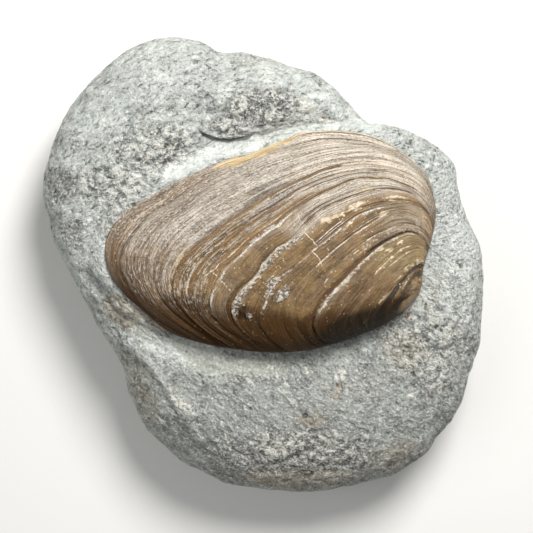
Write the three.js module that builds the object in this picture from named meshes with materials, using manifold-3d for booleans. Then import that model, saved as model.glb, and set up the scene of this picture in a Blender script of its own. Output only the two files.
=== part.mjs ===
// Fossil bivalve on its stone.
//
// A hand-sized grey limestone nodule lies on its flattest side, and one long, obliquely oval
// bivalve stands out of its upper face. The two pieces are the nodule (matrix_stone) and the
// fossil (bivalve_shell): the shell with the stone that fills it, which sits in a shallow socket
// of the nodule, where it would lift out if the rock let go of it.
//
// Millimetres. +Z is up, out of the face that carries the shell. +X points to the beak end of the
// shell and +Y to its long upper margin. The origin is the middle of the base of the bounding box.
import * as THREE from "three";
import { mergeVertices } from "three/addons/utils/BufferGeometryUtils.js";
import Module from "manifold-3d";

const wasm = await Module();
wasm.setup();

// ---------------------------------------------------------------- driving dimensions
const FACE_Z = 22.4; // height of the nodule's broad upper face
const SEAT_Z = 21.2; // height of the shell's margin at the middle of the shell
const SEAT_SLOPE_X = -0.022; // the margin's plane falls towards the beak end
const SHELL_BURIED = 2.8; // how far the fossil reaches down into its socket
const SOCKET_GAP = 0.3; // clearance round the fossil in its socket
const SHELL_RISE = 9.4; // greatest height of the shell above its margin
const SPLAY = 1.0; // overall radial scale of the nodule's outline
const STONE_SEGMENTS = 96;
const SHELL_SEGMENTS = 80;
const CENTRE_SHIFT = [0.03, 0.0]; // brings the bounding box's middle to the origin

// Nodule's outline seen from above: radius every 2.5 degrees, from +X towards +Y.
const OUTLINE_R = [
  39.0, 38.9, 38.6, 38.1, 37.5, 37.1, 36.8, 36.7, 36.9, 37.1, 37.8, 38.1, 37.9, 37.4, 36.7, 35.8,
  35.0, 34.4, 33.7, 32.9, 32.0, 31.1, 31.1, 31.4, 31.8, 32.3, 32.8, 33.4, 33.8, 34.5, 35.0, 35.1,
  35.2, 35.6, 36.1, 36.7, 36.9, 37.3, 37.8, 37.9, 38.0, 39.0, 41.0, 42.1, 43.1, 43.8, 44.3, 44.7,
  44.9, 45.1, 45.0, 44.9, 44.8, 44.8, 44.6, 44.5, 44.4, 44.2, 43.9, 43.6, 43.2, 42.8, 42.5, 42.3,
  41.8, 41.0, 40.0, 38.8, 38.1, 37.4, 36.6, 35.8, 35.0, 34.2, 33.5, 33.0, 32.5, 31.9, 31.6, 31.4,
  31.1, 30.8, 30.6, 30.3, 30.4, 30.5, 30.6, 30.9, 31.6, 32.4, 33.1, 33.7, 34.4, 35.1, 35.7, 36.1,
  36.5, 36.8, 37.3, 37.9, 38.2, 38.3, 38.6, 39.0, 39.4, 39.6, 39.7, 39.8, 40.0, 40.2, 40.4, 40.8,
  41.1, 41.4, 41.6, 41.8, 42.0, 42.4, 42.7, 43.1, 43.7, 44.1, 44.2, 44.3, 44.3, 44.1, 43.5, 43.4,
  43.3, 43.2, 42.9, 42.5, 41.9, 41.4, 41.3, 41.2, 41.1, 40.7, 40.2, 39.8, 39.5, 39.4, 39.3, 39.2,
];

// Round the nodule, at the angles given: height of the widest place, sharpness of the upper edge,
// share of the radius that the flat resting face takes, and fullness of the lower side.
const RIM = [
  // angle, rim height, upper sharpness, base share, lower fullness
  [0, 13.5, 6.5, 0.6, 1.9],
  [30, 14.5, 8.0, 0.62, 2.1],
  [47, 16.5, 13.0, 0.66, 2.2],
  [62, 15.0, 8.0, 0.64, 2.1],
  [90, 13.0, 5.2, 0.6, 1.9],
  [120, 11.5, 4.2, 0.54, 1.7],
  [150, 11.0, 3.8, 0.52, 1.7],
  [180, 12.0, 4.6, 0.56, 1.8],
  [210, 12.5, 5.4, 0.64, 2.1],
  [240, 11.5, 4.8, 0.6, 2.0],
  [270, 11.0, 4.4, 0.55, 1.8],
  [300, 12.0, 4.6, 0.54, 1.8],
  [330, 13.0, 5.4, 0.57, 1.8],
];

// Broad swells and hollows of the upper face: centre x, y, half-widths along and across,
// turn in degrees, height.
const SWELLS = [
  [-24, 22, 16, 8, 30, 0.9], // raised rough band over the shell's upper left
  [2, 27, 12, 5, -12, 1.1], // its continuation along the top
  [-30, 30, 9, 9, 0, -0.8], // rounded shoulder of the upper left lobe
  [-15, 17.5, 14, 3.0, 29, -1.3], // cleared hollow along the upper margin of the shell
  [-16, -17, 12, 3.2, -38, -0.7], // cleared hollow under the lower margin
  [4, -20, 13, 3.0, 3, -0.6],
  [-22, -22, 4, 12, 35, 0.5], // low ridge down the left of the front
  [10, -28, 16, 8, 0, 0.7], // swell at the front
  [33, -6, 5, 9, 0, 0.5],
];

// The blunt ridge down the left of the front: a point of it, the way out from it, and the fall.
const RIDGE_AT = [-21.0, -15.6];
const RIDGE_OUT = [-0.772, -0.635];
const RIDGE_FALL = 0.5;

// The shell's margin seen from above, from the beak end clockwise.
const MARGIN = [
  [29.8, 8.6], [29.5, 6.5], [29.0, 4.0], [28.3, 1.6], [27.7, -0.1], [27.4, -1.8], [27.3, -3.6],
  [26.8, -5.3], [25.7, -6.6], [24.4, -8.0], [22.5, -9.3], [20.3, -10.6], [18.1, -11.6],
  [15.6, -12.5], [13.3, -13.3], [11.0, -14.0], [8.9, -14.5], [6.1, -14.9], [2.3, -15.1],
  [-1.3, -14.9], [-3.7, -14.6], [-6.1, -14.3], [-8.9, -13.8], [-11.3, -13.2], [-13.7, -12.5],
  [-15.6, -11.7], [-17.3, -10.6], [-19.0, -9.2], [-20.7, -7.7], [-22.2, -6.4], [-23.4, -5.3],
  [-24.6, -3.9], [-25.7, -2.3], [-26.5, -0.6], [-26.8, 1.0], [-26.9, 2.5], [-26.8, 4.0],
  [-26.3, 5.5], [-25.4, 6.9], [-24.1, 8.3], [-22.6, 9.6], [-20.6, 10.9], [-18.9, 11.9],
  [-17.1, 12.9], [-14.5, 14.4], [-12.3, 15.4], [-10.6, 16.1], [-8.4, 17.2], [-6.2, 18.1],
  [-3.2, 18.7], [-1.0, 19.5], [1.2, 20.4], [2.9, 21.1], [4.8, 21.9], [5.9, 22.5], [7.2, 22.9],
  [9.4, 23.1], [12.1, 23.2], [14.9, 23.0], [17.0, 22.7], [19.2, 22.1], [21.4, 21.1],
  [23.6, 19.8], [25.2, 18.6], [26.8, 17.1], [28.2, 15.7], [28.9, 14.4], [29.3, 13.0], [29.7, 10.8],
];

// Along the shell, at the x given: crest height as a share of SHELL_RISE, where the crest lies
// between the lower margin (0) and the upper margin (1), and how fast the end closes.
const CREST = [
  [-27, 0.66, 0.5, 0.92],
  [-20, 0.7, 0.5, 0.86],
  [-11, 0.8, 0.41, 0.78],
  [-2.5, 0.9, 0.33, 0.7],
  [6, 0.97, 0.26, 0.64],
  [15, 1.0, 0.22, 0.6],
  [22, 0.99, 0.22, 0.58],
  [26, 0.95, 0.28, 0.56],
  [30, 0.9, 0.4, 0.56],
];

// ---------------------------------------------------------------- small helpers
const smooth = (a, b, x) => {
  const t = Math.min(1, Math.max(0, (x - a) / (b - a)));
  return t * t * (3 - 2 * t);
};

// A periodic Catmull-Rom reading of evenly spaced values; u counts values.
function periodic(values, u) {
  const n = values.length;
  const i = Math.floor(u);
  const t = u - i;
  const at = (k) => values[(((i + k) % n) + n) % n];
  const [a, b, c, d] = [at(-1), at(0), at(1), at(2)];
  return 0.5 * (2 * b + (c - a) * t + (2 * a - 5 * b + 4 * c - d) * t * t + (3 * b - a - 3 * c + d) * t ** 3);
}

// A smooth reading of rows [x, v1, v2, ...] between their x values.
function along(rows, x, column, period = 0) {
  const n = rows.length;
  let i = 0;
  if (period) {
    x = ((x % period) + period) % period;
    while (i < n - 1 && rows[i + 1][0] <= x) i++;
    const a = rows[i];
    const b = rows[(i + 1) % n];
    const bx = i === n - 1 ? b[0] + period : b[0];
    return a[column] + (b[column] - a[column]) * smooth(a[0], bx, x);
  }
  if (x <= rows[0][0]) return rows[0][column];
  if (x >= rows[n - 1][0]) return rows[n - 1][column];
  while (rows[i + 1][0] <= x) i++;
  return rows[i][column] + (rows[i + 1][column] - rows[i][column]) * smooth(rows[i][0], rows[i + 1][0], x);
}

const outlineRadius = (angle) => SPLAY * periodic(OUTLINE_R, ((((angle * 180) / Math.PI) % 360) + 360) % 360 / 2.5);
const rim = (angle, column) => along(RIM, (angle * 180) / Math.PI, column, 360);

// The outline with its lobes and notches evened out, for the underside.
function evenRadius(angle) {
  let sum = 0;
  let weight = 0;
  for (let k = -12; k <= 12; k++) {
    const w = 1 + Math.cos((k / 13) * Math.PI);
    sum += w * outlineRadius(angle + (k * 2.5 * Math.PI) / 180);
    weight += w;
  }
  return sum / weight;
}

// Slow unevenness of weathered rock, from -1 to 1.
const LUMPS = [
  [0.21, 0.05, 0.33, 0.4, 0.34],
  [-0.12, 0.24, -0.21, 1.9, 0.3],
  [0.31, -0.27, 0.14, 4.1, 0.2],
  [0.09, 0.41, 0.37, 2.6, 0.16],
];
const lumps = (x, y, z) => LUMPS.reduce((sum, [a, b, c, d, h]) => sum + h * Math.sin(a * x + b * y + c * z + d), 0);

// Signed distance to the shell's margin: positive outside.
function marginDistance(x, y) {
  let best = Infinity;
  let inside = false;
  for (let i = 0, n = MARGIN.length; i < n; i++) {
    const [ax, ay] = MARGIN[i];
    const [bx, by] = MARGIN[(i + 1) % n];
    const dx = bx - ax;
    const dy = by - ay;
    const t = Math.min(1, Math.max(0, ((x - ax) * dx + (y - ay) * dy) / (dx * dx + dy * dy)));
    best = Math.min(best, Math.hypot(x - ax - t * dx, y - ay - t * dy));
    if (ay > y !== by > y && x < ax + ((y - ay) / (by - ay)) * (bx - ax)) inside = !inside;
  }
  return inside ? -best : best;
}

// Where a line of constant x crosses the shell's margin: lowest and highest y.
function marginSpan(x) {
  let low = Infinity;
  let high = -Infinity;
  for (let i = 0, n = MARGIN.length; i < n; i++) {
    const [ax, ay] = MARGIN[i];
    const [bx, by] = MARGIN[(i + 1) % n];
    if (ax > x === bx > x) continue;
    const y = ay + ((x - ax) / (bx - ax)) * (by - ay);
    low = Math.min(low, y);
    high = Math.max(high, y);
  }
  return [low, high];
}

const seat = (x) => SEAT_Z + SEAT_SLOPE_X * x;

// ---------------------------------------------------------------- the nodule's surfaces
function faceHeight(x, y) {
  let z = FACE_Z;
  for (const [cx, cy, a, b, turn, h] of SWELLS) {
    const c = Math.cos((turn * Math.PI) / 180);
    const s = Math.sin((turn * Math.PI) / 180);
    const u = ((x - cx) * c + (y - cy) * s) / a;
    const v = (-(x - cx) * s + (y - cy) * c) / b;
    z += h * Math.exp(-0.5 * (u * u + v * v));
  }
  z += 0.35 * lumps(x, y, 0);
  // The front left turns down along a blunt ridge.
  const past = (x - RIDGE_AT[0]) * RIDGE_OUT[0] + (y - RIDGE_AT[1]) * RIDGE_OUT[1];
  z -= RIDGE_FALL * (Math.sqrt(past * past + 1.5) + past) * 0.5;
  // The rock meets the shell at the margin's own height, and the face takes over a few mm away.
  return seat(x) + (z - seat(x)) * smooth(0.2, 5.0, marginDistance(x, y));
}

function topHeight(angle, share) {
  const r = outlineRadius(angle) * share;
  const low = rim(angle, 1);
  const [x, y] = [r * Math.cos(angle), r * Math.sin(angle)];
  const rolled = low + (faceHeight(x, y) - low) * Math.sqrt(Math.max(0, 1 - share ** rim(angle, 2)));
  // A narrow shelf keeps the rock up at the shell's margin before it rolls over the edge.
  const shelf = (1 - smooth(0.3, 3.2, marginDistance(x, y))) * (1 - smooth(0.95, 1, share));
  return rolled + (seat(x) - rolled) * shelf;
}

// A point of the lower side: q is 1 at the widest place and 0 at the edge of the resting face.
function sidePoint(angle, q) {
  const base = rim(angle, 3);
  const share = base + q * (1 - base);
  const z = rim(angle, 1) * (1 - Math.sqrt(Math.max(0, 1 - q ** rim(angle, 4))));
  const r = outlineRadius(angle);
  const even = r + (evenRadius(angle) - r) * smooth(0, 0.45, 1 - q);
  const swing = smooth(0, 0.12, 1 - q) * 1.1 * lumps(r * share * Math.cos(angle), r * share * Math.sin(angle), z);
  return [Math.min(r * 0.999, even * share + swing), z];
}

// ---------------------------------------------------------------- the shell's surface
function shellHeight(x, y) {
  const [low, high] = marginSpan(x);
  if (!(high > low)) return seat(x);
  const w = Math.min(1, Math.max(0, (y - low) / (high - low)));
  const crest = along(CREST, x, 2);
  const across =
    w < crest
      ? Math.sqrt(Math.max(0, 1 - ((crest - w) / crest) ** 2.3))
      : Math.max(0, 1 - ((w - crest) / (1 - crest)) ** 1.75) ** 0.86;
  const chord = Math.min(1, (high - low) / 37.5);
  return seat(x) + SHELL_RISE * along(CREST, x, 1) * chord ** along(CREST, x, 3) * across;
}

// ---------------------------------------------------------------- meshes
// A closed body from rings of points, one fan at each end.
function ringBody(first, rings, last) {
  const n = rings[0].length;
  const points = [first, ...rings.flat(), last];
  const index = [];
  const at = (ring, k) => 1 + ring * n + (((k % n) + n) % n);
  for (let k = 0; k < n; k++) index.push(0, at(0, k), at(0, k + 1));
  for (let j = 0; j + 1 < rings.length; j++)
    for (let k = 0; k < n; k++) {
      index.push(at(j, k), at(j + 1, k), at(j + 1, k + 1));
      index.push(at(j, k), at(j + 1, k + 1), at(j, k + 1));
    }
  const end = points.length - 1;
  for (let k = 0; k < n; k++) index.push(end, at(rings.length - 1, k + 1), at(rings.length - 1, k));
  const g = new THREE.BufferGeometry();
  g.setAttribute("position", new THREE.Float32BufferAttribute(points.flat(), 3));
  g.setIndex(index);
  return g;
}

function toSolid(geometry) {
  const g = geometry.clone();
  g.deleteAttribute("normal");
  g.deleteAttribute("uv");
  const merged = mergeVertices(g, 1e-4);
  return new wasm.Manifold(
    new wasm.Mesh({
      numProp: 3,
      vertProperties: merged.attributes.position.array,
      triVerts: new Uint32Array(merged.index.array),
    }),
  );
}

function toGeometry(solid) {
  const mesh = solid.getMesh();
  const g = new THREE.BufferGeometry();
  g.setAttribute("position", new THREE.BufferAttribute(new Float32Array(mesh.vertProperties), 3));
  g.setIndex(new THREE.BufferAttribute(new Uint32Array(mesh.triVerts), 1));
  g.computeVertexNormals();
  return g;
}

// The nodule before its socket is cut: rings down from the middle of the top to the base.
function noduleGeometry() {
  const top = [0.14, 0.28, 0.41, 0.53, 0.63, 0.72, 0.8, 0.86, 0.91, 0.95, 0.98, 1.0];
  const low = [0.985, 0.94, 0.86, 0.74, 0.58, 0.36, 0.0];
  const ring = (point) =>
    Array.from({ length: STONE_SEGMENTS }, (_, k) => {
      const a = (k / STONE_SEGMENTS) * 2 * Math.PI;
      const [r, z] = point(a);
      return [r * Math.cos(a), r * Math.sin(a), z];
    });
  const rings = [
    ...top.map((s) => ring((a) => [outlineRadius(a) * s, topHeight(a, s)])),
    ...low.map((q) => ring((a) => sidePoint(a, q))),
  ];
  return ringBody([0, 0, topHeight(0, 0)], rings, [0, 0, 0]);
}

// The shell's outline, grown by a margin, as a list of evenly turned points round its middle.
const SHELL_MIDDLE = [1.5, 4.0];
function marginRing(grow) {
  const [mx, my] = SHELL_MIDDLE;
  return Array.from({ length: SHELL_SEGMENTS }, (_, k) => {
    const a = (k / SHELL_SEGMENTS) * 2 * Math.PI;
    const [c, s] = [Math.cos(a), Math.sin(a)];
    let lo = 0;
    let hi = 60;
    for (let i = 0; i < 40; i++) {
      const r = (lo + hi) / 2;
      if (marginDistance(mx + r * c, my + r * s) < grow) lo = r;
      else hi = r;
    }
    return [mx + lo * c, my + lo * s];
  });
}

function shellGeometry() {
  const edge = marginRing(0);
  const [mx, my] = SHELL_MIDDLE;
  const shares = [0.2, 0.38, 0.54, 0.67, 0.78, 0.86, 0.92, 0.96, 0.985];
  const rings = shares.map((s) =>
    edge.map(([x, y]) => {
      const px = mx + (x - mx) * s;
      const py = my + (y - my) * s;
      return [px, py, shellHeight(px, py)];
    }),
  );
  rings.push(edge.map(([x, y]) => [x, y, seat(x)]));
  rings.push(edge.map(([x, y]) => [x, y, seat(x) - 1.1]));
  rings.push(edge.map(([x, y]) => [mx + (x - mx) * 0.94, my + (y - my) * 0.94, SEAT_Z - 2.2]));
  rings.push(edge.map(([x, y]) => [mx + (x - mx) * 0.8, my + (y - my) * 0.8, SEAT_Z - SHELL_BURIED]));
  return ringBody([mx, my, shellHeight(mx, my)], rings, [mx, my, SEAT_Z - SHELL_BURIED]);
}

// The socket: the buried part of the fossil, grown by the gap all round and open upwards.
function socketGeometry() {
  const edge = marginRing(SOCKET_GAP);
  const [mx, my] = SHELL_MIDDLE;
  const g = SOCKET_GAP;
  const at = (s, z) => edge.map(([x, y]) => [mx + (x - mx) * s, my + (y - my) * s, typeof z === "function" ? z(x) : z]);
  const rings = [
    at(1, 40),
    at(1, (x) => seat(x) - 1.1 - g),
    at(0.945, SEAT_Z - 2.2 - g),
    at(0.81, SEAT_Z - SHELL_BURIED - g),
  ];
  return ringBody([mx, my, 40], rings, [mx, my, SEAT_Z - SHELL_BURIED - g]);
}

const stoneSolid = toSolid(noduleGeometry()).subtract(toSolid(socketGeometry()));

const matrix = new THREE.Mesh(
  toGeometry(stoneSolid),
  new THREE.MeshStandardMaterial({ color: 0x9a9c99, roughness: 0.9, metalness: 0 }),
);
matrix.name = "matrix_stone";

const shellShape = shellGeometry();
shellShape.computeVertexNormals();
const shell = new THREE.Mesh(
  shellShape,
  new THREE.MeshStandardMaterial({ color: 0x7d6751, roughness: 0.5, metalness: 0 }),
);
shell.name = "bivalve_shell";

const fossil = new THREE.Group();
fossil.add(matrix, shell);
fossil.position.set(CENTRE_SHIFT[0], CENTRE_SHIFT[1], 0);

export default fossil;
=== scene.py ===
import math

import bpy
import numpy as np
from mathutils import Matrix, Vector, kdtree


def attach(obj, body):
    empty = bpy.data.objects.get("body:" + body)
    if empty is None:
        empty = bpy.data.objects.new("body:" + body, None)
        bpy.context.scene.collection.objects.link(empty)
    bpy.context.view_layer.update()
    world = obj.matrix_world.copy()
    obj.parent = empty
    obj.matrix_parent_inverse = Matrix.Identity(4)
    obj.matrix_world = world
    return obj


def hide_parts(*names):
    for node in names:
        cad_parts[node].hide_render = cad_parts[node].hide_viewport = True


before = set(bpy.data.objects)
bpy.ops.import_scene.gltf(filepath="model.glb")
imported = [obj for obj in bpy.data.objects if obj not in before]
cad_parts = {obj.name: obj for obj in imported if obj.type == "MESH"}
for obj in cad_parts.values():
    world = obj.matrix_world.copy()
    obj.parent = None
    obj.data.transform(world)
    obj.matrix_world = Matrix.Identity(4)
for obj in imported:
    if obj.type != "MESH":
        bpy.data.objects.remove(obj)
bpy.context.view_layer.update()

# A fossil bivalve standing out of the upper face of a grey limestone nodule.
# Lengths are millimetres until the meshes are written in metres. +Z is up out of the face that
# carries the shell, +X points to the beak end, +Y to the shell's long upper margin.

# ---------------------------------------------------------------- driving numbers
FACE_Z = 22.4
SEAT_Z = 21.2
SEAT_SLOPE_X = -0.022
SHELL_RISE = 9.4
SHIFT_X = 0.03
EYE_X, EYE_Y, EYE_Z = 0.8004, -0.3202, 250.0  # where the camera stands
FOCAL_PX = 1332.5
MIDDLE = (1.5, 4.0)

OUTLINE_R = [
    39.0, 38.9, 38.6, 38.1, 37.5, 37.1, 36.8, 36.7, 36.9, 37.1, 37.8, 38.1, 37.9, 37.4, 36.7, 35.8,
    35.0, 34.4, 33.7, 32.9, 32.0, 31.1, 31.1, 31.4, 31.8, 32.3, 32.8, 33.4, 33.8, 34.5, 35.0, 35.1,
    35.2, 35.6, 36.1, 36.7, 36.9, 37.3, 37.8, 37.9, 38.0, 39.0, 41.0, 42.1, 43.1, 43.8, 44.3, 44.7,
    44.9, 45.1, 45.0, 44.9, 44.8, 44.8, 44.6, 44.5, 44.4, 44.2, 43.9, 43.6, 43.2, 42.8, 42.5, 42.3,
    41.8, 41.0, 40.0, 38.8, 38.1, 37.4, 36.6, 35.8, 35.0, 34.2, 33.5, 33.0, 32.5, 31.9, 31.6, 31.4,
    31.1, 30.8, 30.6, 30.3, 30.4, 30.5, 30.6, 30.9, 31.6, 32.4, 33.1, 33.7, 34.4, 35.1, 35.7, 36.1,
    36.5, 36.8, 37.3, 37.9, 38.2, 38.3, 38.6, 39.0, 39.4, 39.6, 39.7, 39.8, 40.0, 40.2, 40.4, 40.8,
    41.1, 41.4, 41.6, 41.8, 42.0, 42.4, 42.7, 43.1, 43.7, 44.1, 44.2, 44.3, 44.3, 44.1, 43.5, 43.4,
    43.3, 43.2, 42.9, 42.5, 41.9, 41.4, 41.3, 41.2, 41.1, 40.7, 40.2, 39.8, 39.5, 39.4, 39.3, 39.2,
]
RIM = [  # angle, rim height, upper sharpness, base share, lower fullness
    [0, 13.5, 6.5, 0.6, 1.9],
    [30, 14.5, 8.0, 0.62, 2.1],
    [47, 16.5, 13.0, 0.66, 2.2],
    [62, 15.0, 8.0, 0.64, 2.1],
    [90, 13.0, 5.2, 0.6, 1.9],
    [120, 11.5, 4.2, 0.54, 1.7],
    [150, 11.0, 3.8, 0.52, 1.7],
    [180, 12.0, 4.6, 0.56, 1.8],
    [210, 12.5, 5.4, 0.64, 2.1],
    [240, 11.5, 4.8, 0.6, 2.0],
    [270, 11.0, 4.4, 0.55, 1.8],
    [300, 12.0, 4.6, 0.54, 1.8],
    [330, 13.0, 5.4, 0.57, 1.8],
]
SWELLS = [
    [-24, 22, 16, 8, 30, 0.9],
    [2, 27, 12, 5, -12, 1.1],
    [-30, 30, 9, 9, 0, -0.8],
    [-15, 17.5, 14, 3.0, 29, -1.3],
    [-16, -17, 12, 3.2, -38, -0.7],
    [4, -20, 13, 3.0, 3, -0.6],
    [-22, -22, 4, 12, 35, 0.5],
    [10, -28, 16, 8, 0, 0.7],
    [33, -6, 5, 9, 0, 0.5],
]
RIDGE_AT = (-21.0, -15.6)
RIDGE_OUT = (-0.772, -0.635)
RIDGE_FALL = 0.5
MARGIN = [
    [29.8, 8.6], [29.5, 6.5], [29.0, 4.0], [28.3, 1.6], [27.7, -0.1], [27.4, -1.8], [27.3, -3.6],
    [26.8, -5.3], [25.7, -6.6], [24.4, -8.0], [22.5, -9.3], [20.3, -10.6], [18.1, -11.6],
    [15.6, -12.5], [13.3, -13.3], [11.0, -14.0], [8.9, -14.5], [6.1, -14.9], [2.3, -15.1],
    [-1.3, -14.9], [-3.7, -14.6], [-6.1, -14.3], [-8.9, -13.8], [-11.3, -13.2], [-13.7, -12.5],
    [-15.6, -11.7], [-17.3, -10.6], [-19.0, -9.2], [-20.7, -7.7], [-22.2, -6.4], [-23.4, -5.3],
    [-24.6, -3.9], [-25.7, -2.3], [-26.5, -0.6], [-26.8, 1.0], [-26.9, 2.5], [-26.8, 4.0],
    [-26.3, 5.5], [-25.4, 6.9], [-24.1, 8.3], [-22.6, 9.6], [-20.6, 10.9], [-18.9, 11.9],
    [-17.1, 12.9], [-14.5, 14.4], [-12.3, 15.4], [-10.6, 16.1], [-8.4, 17.2], [-6.2, 18.1],
    [-3.2, 18.7], [-1.0, 19.5], [1.2, 20.4], [2.9, 21.1], [4.8, 21.9], [5.9, 22.5], [7.2, 22.9],
    [9.4, 23.1], [12.1, 23.2], [14.9, 23.0], [17.0, 22.7], [19.2, 22.1], [21.4, 21.1],
    [23.6, 19.8], [25.2, 18.6], [26.8, 17.1], [28.2, 15.7], [28.9, 14.4], [29.3, 13.0], [29.7, 10.8],
]
CREST = [  # x, crest height share, where the crest lies across, how fast the end closes
    [-27, 0.66, 0.5, 0.92],
    [-20, 0.7, 0.5, 0.86],
    [-11, 0.8, 0.41, 0.78],
    [-2.5, 0.9, 0.33, 0.7],
    [6, 0.97, 0.26, 0.64],
    [15, 1.0, 0.22, 0.6],
    [22, 0.99, 0.22, 0.58],
    [26, 0.95, 0.28, 0.56],
    [30, 0.9, 0.4, 0.56],
]
LUMPS = [
    [0.21, 0.05, 0.33, 0.4, 0.34],
    [-0.12, 0.24, -0.21, 1.9, 0.3],
    [0.31, -0.27, 0.14, 4.1, 0.2],
    [0.09, 0.41, 0.37, 2.6, 0.16],
]

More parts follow.
